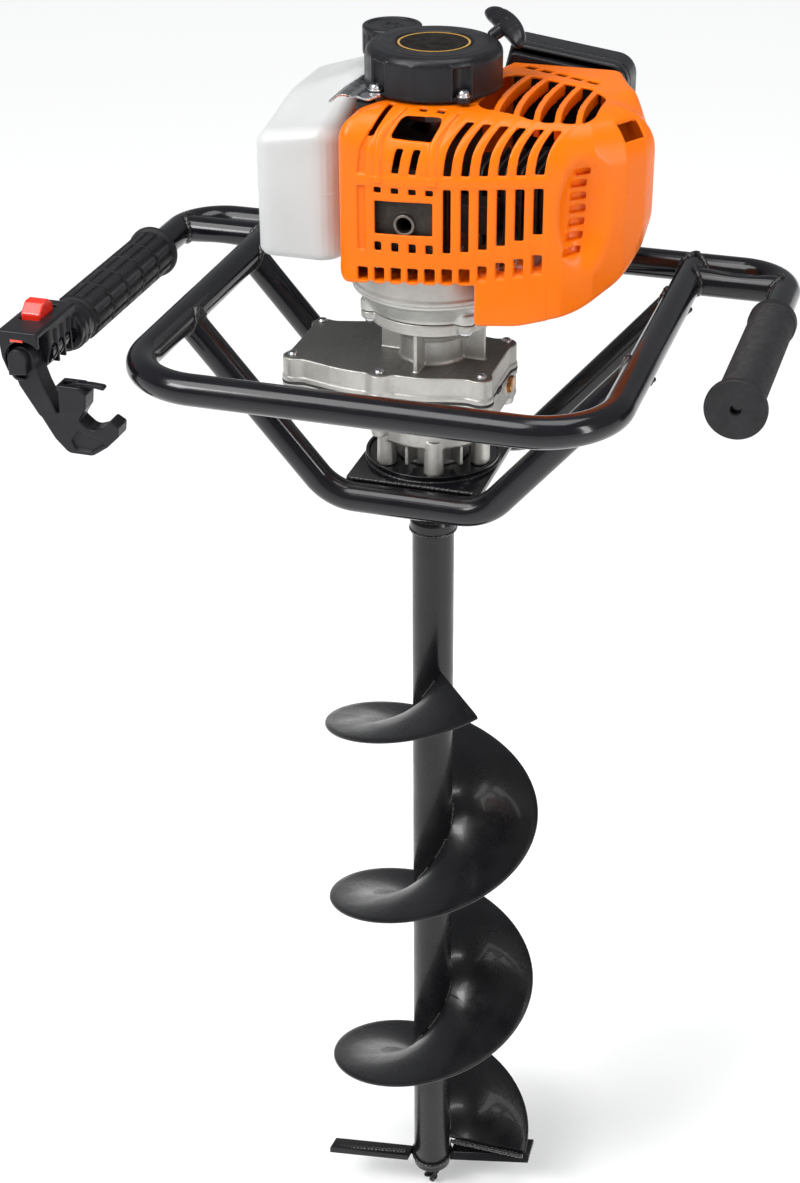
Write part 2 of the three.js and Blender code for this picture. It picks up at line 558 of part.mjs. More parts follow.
function makeMuffler() {
  const can = block(-42, 34, MUFFLER_Y, MUFFLER_Y + 34, 1052, 1126);
  const outlet = rodY(9, MUFFLER_Y - 4, MUFFLER_Y + 2, 2, CYL_Z, 24);
  const port = rodY(6.5, MUFFLER_Y - 10, MUFFLER_Y + 26, 2, CYL_Z, 24);
  const arm = block(30, 66, -62, -34, CYL_Z - 12, CYL_Z + 12);
  add('muffler', 'dark_steel', join(can, outlet, arm).subtract(port));
}

const FILTER_LEFT = 30;
const FILTER_RIGHT = 136;
const FILTER_Y = 99;             // where the air filter's cover meets its base

function makeIntake() {
  const body = join(block(66, 96, 50, 90, CYL_Z - 16, CYL_Z + 18), rodY(13, 34, 52, 80, CYL_Z, 24));
  add('carburetor', 'engine_alloy', body.subtract(rodY(8, 30, 100, 80, CYL_Z, 14)));
  const lever = join(rodX(3, 96.5, 100, 70, CYL_Z + 8, 16), block(97, 100, 66, 74, CYL_Z + 8, CYL_Z + 34));
  add('choke_lever', 'black_plastic', lever);
  const base = outline([[32, 1080], [133, 1080], [133, 1164], [32, 1176]]);
  const throat = rodY(9, 80, 110, 80, CYL_Z + 3, 20);
  add('air_filter_base', 'black_plastic', slab(base, 90.5, FILTER_Y).subtract(throat));
  const cover = new THREE.Shape();
  cover.moveTo(FILTER_LEFT, 1090);
  cover.quadraticCurveTo(FILTER_LEFT, 1078, FILTER_LEFT + 12, 1078);
  cover.lineTo(FILTER_RIGHT - 12, 1078);
  cover.quadraticCurveTo(FILTER_RIGHT, 1078, FILTER_RIGHT, 1090);
  cover.lineTo(FILTER_RIGHT, 1158);
  cover.quadraticCurveTo(FILTER_RIGHT, 1171, FILTER_RIGHT - 14, 1174);
  cover.lineTo(FILTER_LEFT + 10, 1184);
  cover.quadraticCurveTo(FILTER_LEFT, 1184, FILTER_LEFT, 1172);
  const inside = block(FILTER_LEFT + 6, FILTER_RIGHT - 6, 90, 134, 1084, 1168);
  add('air_filter_cover', 'black_plastic', slab(cover, FILTER_Y + GAP, 139).subtract(inside));
}

// ---- fuel tank ----------------------------------------------------------------------------------
const CAP_X = -54;
const CAP_Y = 62;

function tankBody(inset) {
  const plan = outline([[-133 + inset, -52 + inset], [-125 + inset, -60 + inset], [-70 - inset, -60 + inset],
    [-62 - inset, -52 + inset], [-62 - inset, 36 + inset], [-30 - inset, 40 + inset], [-30 - inset, 92 - inset],
    [-125 + inset, 92 - inset], [-133 + inset, 84 - inset]]);
  const side = new THREE.Shape();
  side.moveTo(-60 + inset, 1050);
  side.quadraticCurveTo(-60 + inset, 1040 + inset, -52, 1040 + inset);
  side.lineTo(84, 1040 + inset);
  side.quadraticCurveTo(92 - inset, 1040 + inset, 92 - inset, 1050);
  side.lineTo(92 - inset, 1160);
  side.quadraticCurveTo(92 - inset, 1170 - inset, 80, 1170 - inset);
  side.lineTo(30, 1170 - inset);
  side.quadraticCurveTo(0, 1169 - inset, -48, 1150 - inset);
  side.quadraticCurveTo(-60 + inset, 1146 - inset, -60 + inset, 1132);
  const front = new THREE.Shape();
  front.moveTo(-133 + inset, 1020);
  front.lineTo(-133 + inset, 1140);
  front.quadraticCurveTo(-132 + inset, 1164 - inset, -112, 1168 - inset);
  front.lineTo(-96, 1172);
  front.lineTo(-20, 1172);
  front.lineTo(-20, 1020);
  const alongX = plate(side, -140, -10).rotate([90, 0, 0]).rotate([0, 0, 90]);
  return plate(plan, 1020, 1180).intersect(slab(front, -70, 100)).intersect(alongX);
}

function makeTank() {
  const neck = rod(19, 1160, 1192, CAP_X, CAP_Y);
  const mouth = rod(16, 1140, 1200, CAP_X, CAP_Y);
  add('fuel_tank', 'tank_plastic', join(tankBody(0), neck).subtract(mouth).subtract(tankBody(2.5)));
  const cap = turned([[0, 1203], [22, 1203], [25, 1200], [25, 1178], [19.6, 1178], [19.6, 1193],
    [0, 1193]], 24);
  add('fuel_cap', 'black_plastic', cap.translate([CAP_X, CAP_Y, 0]));
  const strap = outline([[-69, 4], [-56, 8], [-44, -2], [-33, -28], [-30, -48], [-38, -58], [-47, -55], [-56, -50],
    [-69, -58]]);
  const top = DECK_Z + 1.9;
  const curl = block(-69, -67.2, -58, 4, DECK_Z - 1, top);
  add('tank_bracket', 'zinc', join(plate(strap, DECK_Z + GAP, top), curl));
}

// ---- shroud -------------------------------------------------------------------------------------
function shroudBody(inset, open) {
  const left = SHROUD_LEFT + inset;
  const right = SHROUD_RIGHT - inset;
  const top = DECK_Z - inset;
  const floor = open ? -40 : 0;
  const front = new THREE.Shape();
  front.moveTo(left, 1040 + floor);
  front.lineTo(left, 1148);
  front.quadraticCurveTo(left, 1158 - inset, left + 12, 1164 - inset);
  front.lineTo(left + 26, top);
  front.lineTo(118, top);
  front.quadraticCurveTo(168, top - 4, right - 4, 1150 - inset);
  front.lineTo(right, 1140);
  front.lineTo(right, 1086);
  front.quadraticCurveTo(right - 6, 1034 + inset, 130, 1018 + inset);
  front.quadraticCurveTo(96, 1009 + inset, 58 + inset, 1008 + inset);
  front.lineTo(58 + inset, 1040 + floor);
  const plan = new THREE.Shape();
  const nose = SHROUD_FRONT + inset;
  const rear = open ? 60 : 0;
  plan.moveTo(left, nose + 8);
  plan.quadraticCurveTo(left, nose, left + 8, nose);
  plan.lineTo(SHROUD_FLAT_X, nose);
  const bow = (SHROUD_BEND_X - SHROUD_FLAT_X) ** 2 / SHROUD_BOW;
  plan.quadraticCurveTo((SHROUD_FLAT_X + SHROUD_BEND_X) / 2, nose, SHROUD_BEND_X, nose + bow);
  plan.quadraticCurveTo(160, nose + 2 * bow, right, -12);
  plan.lineTo(right, 4 - inset);
  plan.lineTo(146 - inset, 52);
  plan.lineTo(132 - inset, 88 + rear);
  plan.lineTo(40 - rear, 88 + rear);
  plan.lineTo(34 - rear, 60 + rear);
  plan.lineTo(-10, 28 + rear);
  plan.lineTo(left, 28 + rear);
  const side = outline([[nose, 960], [nose, 1144], [nose + 4, 1153], [nose + 14, 1163 - inset],
    [nose + 34, top], [160, top], [160, 960]]);
  const shoulder = plate(side, 0, 260).rotate([90, 0, 0]).rotate([0, 0, 90]).translate([-60, 0, 0]);
  return slab(front, SHROUD_FRONT - 1, 160).intersect(plate(plan, 980, 1190)).intersect(shoulder);
}

function shroudSlots() {
  const cut = (x0, x1, y1, z0, z1) => block(x0, x1, SHROUD_FRONT - PAST, y1, z0, z1);
  const slots = [cut(-20, 26, -80, 1080, 1106)];
  for (let i = 0; i < 6; i += 1) {
    const x = SLOT_X0 - 3.5 + SLOT_PITCH * i;
    slots.push(cut(x, x + 7, -60, 1067, 1117));
    slots.push(cut(x + 3, x + 10, -55, 1128, 1160));
  }
  const recess = solid(new THREE.CylinderGeometry(1, 1, 20, 28).rotateX(Math.PI / 2).scale(46, 40, 1)
    .rotateZ(degrees(16)).translate(92, -7, DECK_Z));
  const ribs = [];
  for (let i = 0; i < 5; i += 1) ribs.push(block(58 + 16 * i, 62 + 16 * i, -60, 60, 1140, 1190));
  slots.push(recess.subtract(join(...ribs)));
  return join(...slots);
}

function makeShroud() {
  const shell = shroudBody(0, false).subtract(shroudBody(SHROUD_WALL, true));
  const engineRoom = rod(69, 980, 1041, 0, 0, 26);
  const starterHole = rod(42, 1150, 1190, 0, 0, 24);
  const body = shell.subtract(engineRoom).subtract(starterHole).subtract(shroudSlots());
  add('engine_shroud', 'orange_plastic', body.decompose().sort((a, b) => b.volume() - a.volume())[0]);
}

// ---- recoil starter -----------------------------------------------------------------------------
const ROPE_AT = [30, 36, 1200];
const ROPE_ALONG = new THREE.Vector3(17, 10, 12).normalize();
const BAR_CENTRE = [47, 46, 1212];
const BAR_ALONG = new THREE.Vector3(38, -40, -14).normalize();

function alongLine(r, length, from, direction, sides = 20) {
  const geometry = new THREE.CylinderGeometry(r, r, length, sides).translate(0, length / 2, 0);
  geometry.applyQuaternion(new THREE.Quaternion().setFromUnitVectors(BACK, direction));
  return solid(geometry.translate(...from));
}

function alongRope(distance) {
  return ROPE_ALONG.clone().multiplyScalar(distance).add(new THREE.Vector3(...ROPE_AT)).toArray();
}

function makeStarter() {
  const cover = turned([[0, STARTER_Z1], [44, STARTER_Z1], [50, STARTER_Z1 - 2], [STARTER_R, STARTER_Z1 - 9],
    [STARTER_R, STARTER_Z0], [51.5, STARTER_Z0], [51.5, STARTER_Z1 - 9], [48, STARTER_Z1 - 4],
    [5, STARTER_Z1 - 4], [5, 1176], [0, 1176]], 22);
  const lugs = [-127, -50, 53, 150].map((angle) => rod(6, STARTER_Z0, STARTER_Z0 + 5,
    57 * Math.cos(degrees(angle)), 57 * Math.sin(degrees(angle)), 10));
  const eyelet = alongLine(3, 60, alongRope(-30), ROPE_ALONG);
  const trimmed = join(cover, ...lugs.map((lug) => lug.subtract(rod(51.6, 1170, 1190, 0, 0, 22))));
  add('starter_cover', 'black_plastic', trimmed.subtract(eyelet));
  const z = STARTER_Z0 + 2.2;
  add('starter_pulley', 'black_plastic', turned([[5.4, z], [26, z], [26, z + 1.5], [23, z + 2.5], [26, z + 3.5],
    [26, z + 5], [5.4, z + 5], [5.4, z]], 24));
}

function makeStarterHandle() {
  const half = 29;
  const from = BAR_ALONG.clone().multiplyScalar(-half).add(new THREE.Vector3(...BAR_CENTRE)).toArray();
  const bar = alongLine(7.5, 2 * half, from, BAR_ALONG);
  const neck = alongLine(5.5, 16, alongRope(9), ROPE_ALONG);
  const rope = alongLine(2, 40, alongRope(-24), ROPE_ALONG, 12);
  add('starter_handle', 'black_plastic', join(bar, neck, rope));
}

// ---- bit ----------------------------------------------------------------------------------------
const BLADE_T = 6;
const BLADE_Z = 42;
const BLADE_TILT = 12;           // degrees
const FLIGHT_IN = BIT_TUBE_R + GAP;
const FLIGHT_STEP = 12.5;        // degrees
const PIN_R = 5;
const PIN_Z = 756;
const PIN_ANGLE = 17;

const crossPin = (r, half) => rodX(r, -half, half, 0, PIN_Z, 20).rotate([0, 0, PIN_ANGLE]);

function makeBitTube() {
  const bore = SHAFT_R + GAP;
  const wallR = BIT_TUBE_R - 3;
  const body = turned([[wallR, BIT_TUBE_Z0], [BIT_TUBE_R, BIT_TUBE_Z0], [BIT_TUBE_R, 778], [20.5, 779.5],
    [20.5, 787], [19, BIT_TUBE_Z1], [bore, BIT_TUBE_Z1], [bore, 730], [wallR, 726], [wallR, BIT_TUBE_Z0]]);
  const pinHole = crossPin(PIN_R + GAP, 30);
  add('bit_tube', 'bit_paint', body.subtract(pinHole));
  add('output_shaft', 'bright_steel', turned([[0, 732], [SHAFT_R, 732], [SHAFT_R, 917.5], [0, 917.5]])
    .subtract(pinHole));
  add('coupling_pin', 'zinc', crossPin(PIN_R, BIT_TUBE_R - 0.4));
}

function flight(turnsFrom, turnsTo) {
  const steps = Math.round((turnsTo - turnsFrom) * 360 / FLIGHT_STEP);
  const stations = Array.from({ length: steps + 1 }, (_, i) => {
    const turns = turnsFrom + (turnsTo - turnsFrom) * i / steps;
    const angle = degrees(360 * turns);
    return { at: new THREE.Vector3(0, 0, FLIGHT_Z0 + PITCH * turns), up: UP,
      across: new THREE.Vector3(Math.cos(angle), Math.sin(angle), 0) };
  });
  const half = FLIGHT_T / 2;
  return sweep(outline([[FLIGHT_IN, -half], [BIT_R, -half], [BIT_R, half], [FLIGHT_IN, half]]), stations);
}

function makeFlights() {
  const joint = GAP / PITCH * 2;
  const third = FLIGHT_TURNS / 3;
  add('flight_lower', 'bit_paint', flight(0, third - joint));
  add('flight_middle', 'bit_paint', flight(third, 2 * third - joint));
  add('flight_upper', 'bit_paint', flight(2 * third, FLIGHT_TURNS));
}

function makeCuttingEnd() {
  const bar = outline([[16, -4], [101, 14], [99, 40], [15, 22]]);
  const tube = rod(BIT_TUBE_R + GAP, 0, 100);
  const flat = plate(bar, -BLADE_T / 2, BLADE_T / 2).rotate([BLADE_TILT, 0, 0]);
  const blade = flat.translate([0, 0, BLADE_Z]).subtract(tube);
  add('blade_right', 'bit_paint', blade);
  add('blade_left', 'bit_paint', blade, [0, 0, 0], Math.PI);
  const point = turned([[0, 0], [4, 6], [6, 14], [6, 26], [15, 32], [15, 44], [0, 44]], 20);
  const wings = [block(0, 11, -2, 2, 8, 16), block(-11, 0, -2, 2, 18, 26)];
  add('pilot_point', 'bit_paint', join(point, ...wings));
}

makeHandlebar();
makeHoop();
makeCradle('cradle_tube_front', -CRADLE_Y);
makeCradle('cradle_tube_rear', CRADLE_Y);
makeGusset('gusset_left', -1);
makeGusset('gusset_right', 1);
makeBasePlate();
makeGrips();
makeThrottleHousing();
makeKillSwitch();
makeTrigger();
makeTriggerLatch();
makeLowerCase();
makeUpperCase();
makeOilPlug();
bearing('output_bearing_lower', SHAFT_R + GAP, BEARING_R, 859, 871);
bearing('output_bearing_upper', SHAFT_R + GAP, BEARING_R, 888, 900);
makeGears();
makeClutch();
makeFanHousing();
makeCrankcase();
bearing('crank_bearing_lower', CRANK_R + GAP, 17.6, 1044, 1056);
bearing('crank_bearing_upper', CRANK_R + GAP, 17.6, 1116, 1128);
makeCrank();
makePiston();
makeCylinder();
makeMuffler();
makeIntake();
makeTank();
makeShroud();
makeStarter();
makeStarterHandle();
makeBitTube();
makeFlights();
makeCuttingEnd();

export default auger;
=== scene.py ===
import json
import math
import random

import bmesh
import bpy
import numpy as np
from mathutils import Matrix, Vector


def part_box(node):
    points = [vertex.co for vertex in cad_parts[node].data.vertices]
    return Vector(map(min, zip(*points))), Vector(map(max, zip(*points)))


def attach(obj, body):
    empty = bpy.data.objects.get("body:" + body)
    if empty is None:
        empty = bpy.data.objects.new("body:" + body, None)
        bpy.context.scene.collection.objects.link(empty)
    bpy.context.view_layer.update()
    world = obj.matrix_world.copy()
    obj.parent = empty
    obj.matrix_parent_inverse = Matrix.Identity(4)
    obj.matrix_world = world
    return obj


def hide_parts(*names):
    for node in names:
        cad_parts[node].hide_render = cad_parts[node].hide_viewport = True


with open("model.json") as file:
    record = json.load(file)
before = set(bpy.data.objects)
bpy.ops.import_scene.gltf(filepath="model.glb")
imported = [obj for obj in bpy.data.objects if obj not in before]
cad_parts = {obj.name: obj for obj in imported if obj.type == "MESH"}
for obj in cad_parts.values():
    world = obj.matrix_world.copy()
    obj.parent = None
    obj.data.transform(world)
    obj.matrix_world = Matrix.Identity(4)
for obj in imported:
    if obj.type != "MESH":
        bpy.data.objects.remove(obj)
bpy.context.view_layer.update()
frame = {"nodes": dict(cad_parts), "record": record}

# Shapes are written in millimetres, in the frame of the CAD model, and become metres in to_mesh().
MM = 0.001
random.seed(7)


# ---- driving dimensions, read from the frame ----------------------------------------------------
def low(node):
    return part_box(node)[0] / MM


def high(node):
    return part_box(node)[1] / MM


TUBE_R = (high("hoop_tube").z - low("hoop_tube").z) / 2
FRAME_Z = (high("hoop_tube").z + low("hoop_tube").z) / 2
HANDLE_X = high("handlebar_tube").x - TUBE_R
REAR_Y = high("handlebar_tube").y - TUBE_R
HOOP_X = high("hoop_tube").x - TUBE_R
FRONT_Y = low("hoop_tube").y + TUBE_R
CRADLE_Y = high("cradle_tube_rear").y - TUBE_R
CRADLE_Z = low("cradle_tube_rear").z + TUBE_R
CRADLE_X = 66
HANDLE_BEND = 42
HOOP_BEND = 62
CRADLE_BEND = 45
GUSSET_Y = REAR_Y - 33
GUSSET_R = 12
PLATE_LOW = low("base_plate")
PLATE_HIGH = high("base_plate")
PLATE_HOLE_R = 29
DISH_R = 58.5
BIT_R = high("flight_lower").x
BIT_TUBE_R = 18.5
BIT_TUBE_TOP = high("bit_tube").z
CASE_TOP = 944
GASKET_Z = low("gearbox_gasket").z
STARTER_Z0 = low("starter_cover").z
STARTER_Z1 = high("starter_cover").z
DECK_Z = high("engine_shroud").z


# ---- shapes -------------------------------------------------------------------------------------
class Shape:
    """A closed surface, or several, as points in millimetres and faces."""

    def __init__(self, points, faces):
        self.points = np.asarray(points, float).reshape(-1, 3)
        self.faces = [tuple(face) for face in faces]

    def __add__(self, other):
        shift = len(self.points)
        faces = [tuple(i + shift for i in face) for face in other.faces]
        return Shape(np.vstack([self.points, other.points]), self.faces + faces)

    def moved(self, x=0.0, y=0.0, z=0.0):
        return Shape(self.points + (x, y, z), self.faces)

    def turned(self, degrees, axis="Z"):
        matrix = np.array(Matrix.Rotation(math.radians(degrees), 3, axis))
        return Shape(self.points @ matrix.T, self.faces)

    def aimed(self, direction):
        """Turned so that +Z points along direction."""
        matrix = np.array(Vector(direction).to_track_quat("Z", "Y").to_matrix())
        return Shape(self.points @ matrix.T, self.faces)


def together(shapes):
    shapes = list(shapes)
    total = shapes[0]
    for shape in shapes[1:]:
        total = total + shape
    return total


def loft(rings, closed=False):
    """Joins rings of equally many points; an open loft gets a cap at each end."""
    count, rows = len(rings[0]), len(rings)
    faces = []
    for i in range(rows if closed else rows - 1):
        a, b = i * count, (i + 1) % rows * count
        for j in range(count):
            k = (j + 1) % count
            faces.append((a + j, a + k, b + k, b + j))
    if not closed:
        faces.append(tuple(reversed(range(count))))
        faces.append(tuple(range((rows - 1) * count, rows * count)))
    return Shape(np.vstack(rings), faces)


def circle(radius, count, z=0.0):
    angles = 2 * np.pi * np.arange(count) / count
    return np.stack([radius * np.cos(angles), radius * np.sin(angles), np.full(count, z)], 1)


def fillet(points, closed=True, steps=6):
    """An outline whose points may have a third number, the radius of that corner."""
    result, count = [], len(points)
    for i, point in enumerate(points):
        here = Vector(point[:2])
        end = not closed and i in (0, count - 1)
        if len(point) < 3 or end:
            result.append(tuple(here))
            continue
        before = (Vector(points[i - 1][:2]) - here).normalized()
        after = (Vector(points[(i + 1) % count][:2]) - here).normalized()
        half = before.angle(after) / 2
        reach = point[2] / math.tan(half)
        middle = here + (before + after).normalized() * point[2] / math.sin(half)
        first = here + before * reach - middle
        last = here + after * reach - middle
        turn = math.atan2(first.x * last.y - first.y * last.x, first.dot(last))
        for step in range(steps + 1):
            spoke = first.copy()
            spoke.rotate(Matrix.Rotation(turn * step / steps, 2))
            result.append(tuple(middle + spoke))
    return result


def lathe(profile, steps=72, corner_steps=5):
    """Turns a profile of (radius, z) about Z. It starts and ends on the axis or closes on itself."""
    on_axis = profile[0][0] == 0
    outline = fillet(profile, closed=not on_axis, steps=corner_steps)
    rings = [circle(r, steps, z) for r, z in outline if r > 1e-6]
    return loft(rings, closed=not on_axis)


def prism(outline, start, end, axis="Z", steps=6):
    """Draws an outline out along an axis: (x, y) along Z, (x, z) along Y or (y, z) along X."""
    flat = np.array(fillet(outline, steps=steps))
    rings = []
    for level in (start, end):
        fill = np.full(len(flat), float(level))
        columns = {"Z": (flat[:, 0], flat[:, 1], fill), "Y": (flat[:, 0], fill, flat[:, 1]),
                   "X": (fill, flat[:, 0], flat[:, 1])}[axis]
        rings.append(np.stack(columns, 1))
    return loft(rings)


def box(x0, x1, y0, y1, z0, z1):
    return prism([(x0, y0), (x1, y0), (x1, y1), (x0, y1)], z0, z1)


def rod(radius, start, end, sides=48, chamfer=0.0):
    """A cylinder between two points, with its two edges rounded by the chamfer."""
    start, end = Vector(start), Vector(end)
    length = (end - start).length
    profile = [(0, 0), (radius, 0, chamfer), (radius, length, chamfer), (0, length)]
    if not chamfer:
        profile = [point[:2] for point in profile]
    return lathe(profile, sides, 4).aimed(end - start).moved(*start)


def places_round(radius, angles):
    """Places on a circle about the main axis, each as (x, y, its angle in degrees)."""
    return [(radius * math.cos(math.radians(angle)), radius * math.sin(math.radians(angle)), angle)
            for angle in angles]


def bend(points, steps=14):
    """A route through points (x, y, z, bend radius), with each middle corner rounded."""
    route = [Vector(points[0][:3])]
    for i in range(1, len(points) - 1):
        here = Vector(points[i][:3])
        before = (Vector(points[i - 1][:3]) - here).normalized()
        after = (Vector(points[i + 1][:3]) - here).normalized()
        half = before.angle(after) / 2
        middle = here + (before + after).normalized() * points[i][3] / math.sin(half)
        first = here + before * points[i][3] / math.tan(half) - middle
        axis = before.cross(after).normalized()
        for step in range(steps + 1):
            turn = Matrix.Rotation(-(math.pi - 2 * half) * step / steps, 3, axis)
            route.append(middle + turn @ first)
    route.append(Vector(points[-1][:3]))
    return route


def along_route(route, section, closed=False):
    """A sweep; section(i, share) gives the ring's flat points (n, 2) at that point of the route."""
    route = [Vector(point) for point in route]
    count = len(route)
    rings, side = [], None
    for i, point in enumerate(route):
        after = route[(i + 1) % count] if closed else route[min(i + 1, count - 1)]
        before = route[i - 1] if closed else route[max(i - 1, 0)]
        tangent = (after - before).normalized()
        if side is None:
            side = tangent.orthogonal().normalized()
        side = (side - tangent * side.dot(tangent)).normalized()
        up = tangent.cross(side)
        flat = section(i, i / max(count - 1, 1))
        rings.append(np.array(point) + np.outer(flat[:, 0], side) + np.outer(flat[:, 1], up))
    return loft(rings, closed)


def pipe(route, radius, sides=40, closed=False):
    flat = circle(radius, sides)[:, :2]
    return along_route(route, lambda i, share: flat, closed)


# ---- solid work: cuts and soft edges ------------------------------------------------------------
def scratch(shape):
    mesh = bpy.data.meshes.new("scratch")
    mesh.from_pydata(shape.points.tolist(), [], shape.faces)
    clean(mesh)
    holder = bpy.data.objects.new("scratch", mesh)
    bpy.context.scene.collection.objects.link(holder)
    return holder


def clean(mesh):
    work = bmesh.new()
    work.from_mesh(mesh)
    bmesh.ops.remove_doubles(work, verts=work.verts, dist=1e-7)
    bmesh.ops.recalc_face_normals(work, faces=work.faces)
    work.to_mesh(mesh)
    work.free()


def result_of(holder, *others):
    graph = bpy.context.evaluated_depsgraph_get()
    mesh = bpy.data.meshes.new_from_object(holder.evaluated_get(graph))
    points = np.empty(len(mesh.vertices) * 3)
    mesh.vertices.foreach_get("co", points)
    shape = Shape(points, [tuple(face.vertices) for face in mesh.polygons])
    for used in (holder, *others):
        data = used.data
        bpy.data.objects.remove(used)
        bpy.data.meshes.remove(data)
    bpy.data.meshes.remove(mesh)
    return shape


def cut(shape, *tools):
    """The shape with the tools taken away, for simple cuts; castings are made as fields instead."""
    holder, tool = scratch(shape), scratch(together(tools))
    modifier = holder.modifiers.new("cut", "BOOLEAN")
    modifier.operation = "DIFFERENCE"
    modifier.solver = "EXACT"
    modifier.use_self = True
    modifier.object = tool
    return result_of(holder, tool)


# ---- castings and mouldings, made as fields of signed distance ----------------------------------
class Space:
    """A block of space on a grid. Its methods give signed distances in millimetres."""

    def __init__(self, lowest, highest, step):
        self.step = step
        self.lowest = np.array(lowest, float) - 2 * step
        counts = np.ceil((np.array(highest, float) + 2 * step - self.lowest) / step).astype(int) + 1
        axes = [(self.lowest[i] + step * np.arange(counts[i])).astype(np.float32) for i in range(3)]
        self.x, self.y, self.z = axes[0][:, None, None], axes[1][None, :, None], axes[2][None, None, :]

    def wide(self, x0, x1):
        return np.maximum(x0 - self.x, self.x - x1)

    def deep(self, y0, y1):
        return np.maximum(y0 - self.y, self.y - y1)

    def between(self, z0, z1):
        return np.maximum(z0 - self.z, self.z - z1)

    def post(self, radius, x, y):
        return np.hypot(self.x - x, self.y - y) - radius

    def disc(self, radius, x, y, z0, z1):
        return np.maximum(self.post(radius, x, y), self.between(z0, z1))

    def cone(self, r0, z0, r1, z1, x=0.0, y=0.0):
        radius = np.interp(self.z.ravel(), (z0, z1), (r0, r1)).astype(np.float32)[None, None, :]
        return np.maximum(np.hypot(self.x - x, self.y - y) - radius, self.between(z0, z1))

    def brick(self, x0, x1, y0, y1, z0, z1, turn=0.0, centre=(0.0, 0.0)):
        """A box, turned about Z round a centre."""
        c, s = math.cos(math.radians(turn)), math.sin(math.radians(turn))
        dx, dy = self.x - centre[0], self.y - centre[1]
        u, v = dx * c + dy * s, dy * c - dx * s
        sides = np.maximum(np.maximum(x0 - u, u - x1), np.maximum(y0 - v, v - y1))
        return np.maximum(sides, self.between(z0, z1))

    def plan(self, points):
        return outline_distance(self.x, self.y, points)

    def front(self, points):
        return outline_distance(self.x, self.z, points)

    def side(self, points):
        return outline_distance(self.y, self.z, points)

    def shape(self, field, passes=1):
        return field_surface(field, self.lowest, self.step, passes)


def outline_distance(u, v, points):
    """Signed distance to an outline, from two grid axes that broadcast together."""
    points = np.array(fillet(points), np.float32)
    best, flips = None, None
    for a, b in zip(points, np.roll(points, -1, 0)):
        du, dv = b - a
        length = max(du * du + dv * dv, 1e-9)
        share = np.clip(((u - a[0]) * du + (v - a[1]) * dv) / length, 0, 1)
        near = (u - a[0] - share * du) ** 2 + (v - a[1] - share * dv) ** 2
        best = near if best is None else np.minimum(best, near)
        rise = dv if abs(dv) > 1e-9 else 1e-9
        crosses = ((a[1] > v) != (b[1] > v)) & (u < a[0] + du * (v - a[1]) / rise)
        flips = crosses if flips is None else flips ^ crosses
    return np.where(flips, -1, 1) * np.sqrt(best)


def fuse(a, b, blend=0.0):
    """The union of two fields, with a fillet about as big as blend."""
    if not blend:
        return np.minimum(a, b)
    share = np.maximum(blend - np.abs(a - b), 0) / blend
    return np.minimum(a, b) - share * share * blend / 4


def within(a, b, blend=0.0):
    return -fuse(-a, -b, blend)


def minus(a, b, blend=0.0):
    return within(a, -b, blend)


def rolled(a, b, radius):
    """The overlap of two fields, with their common edge rolled over a radius that may vary."""
    p, q = a + radius, b + radius
    return np.minimum(np.maximum(p, q), 0) + np.hypot(np.maximum(p, 0), np.maximum(q, 0)) - radius


def smooth_step(value, start, end):
    share = np.clip((value - start) / (end - start), 0, 1)
    return share * share * (3 - 2 * share)


def field_surface(field, lowest, step, passes):
    """The zero level of a field: one point in each cell that it crosses, joined by quads."""
    inside = field < 0
    shape = np.array(field.shape)
    keys, spots, quads, flipped = [], [], [], []
    strides = np.array([shape[1] * shape[2], shape[2], 1])
    for axis in range(3):
        first = [slice(None)] * 3
        second = [slice(None)] * 3
        first[axis], second[axis] = slice(0, -1), slice(1, None)
        index = np.argwhere(inside[tuple(first)] != inside[tuple(second)])
        ahead = index.copy()
        ahead[:, axis] += 1
        here, there = field[tuple(index.T)], field[tuple(ahead.T)]
        spot = index.astype(float)
        spot[:, axis] += here / (here - there)
        u, v = (axis + 1) % 3, (axis + 2) % 3
        corners = []
        for du, dv in ((0, 0), (-1, 0), (-1, -1), (0, -1)):
            cell = index.copy()
            cell[:, u] += du
            cell[:, v] += dv
            corners.append(cell @ strides)
            spots.append(spot)
        keys.extend(corners)
        quads.append(np.stack(corners, 1))
        flipped.append(here > 0)
    cells, place = np.unique(np.concatenate(keys), return_inverse=True)
    spots = np.concatenate(spots)
    counts = np.bincount(place)
    points = np.stack([np.bincount(place, spots[:, i]) / counts for i in range(3)], 1)
    quads, flipped = np.searchsorted(cells, np.concatenate(quads)), np.concatenate(flipped)
    quads[flipped] = quads[flipped][:, ::-1]
    for _ in range(passes):
        points = relaxed(points, quads)
    return Shape(points * step + lowest, quads.tolist())


def relaxed(points, quads):
    """Each point moves halfway to the middle of its neighbours."""
    count = len(points)
    ends = np.concatenate([quads[:, [i, (i + 1) % 4]] for i in range(4)])
    total = np.stack([np.bincount(ends[:, 0], points[ends[:, 1], i], count) for i in range(3)], 1)
    return (points + total / np.maximum(np.bincount(ends[:, 0], minlength=count), 1)[:, None]) / 2


# ---- pieces -------------------------------------------------------------------------------------
MATERIALS = {}


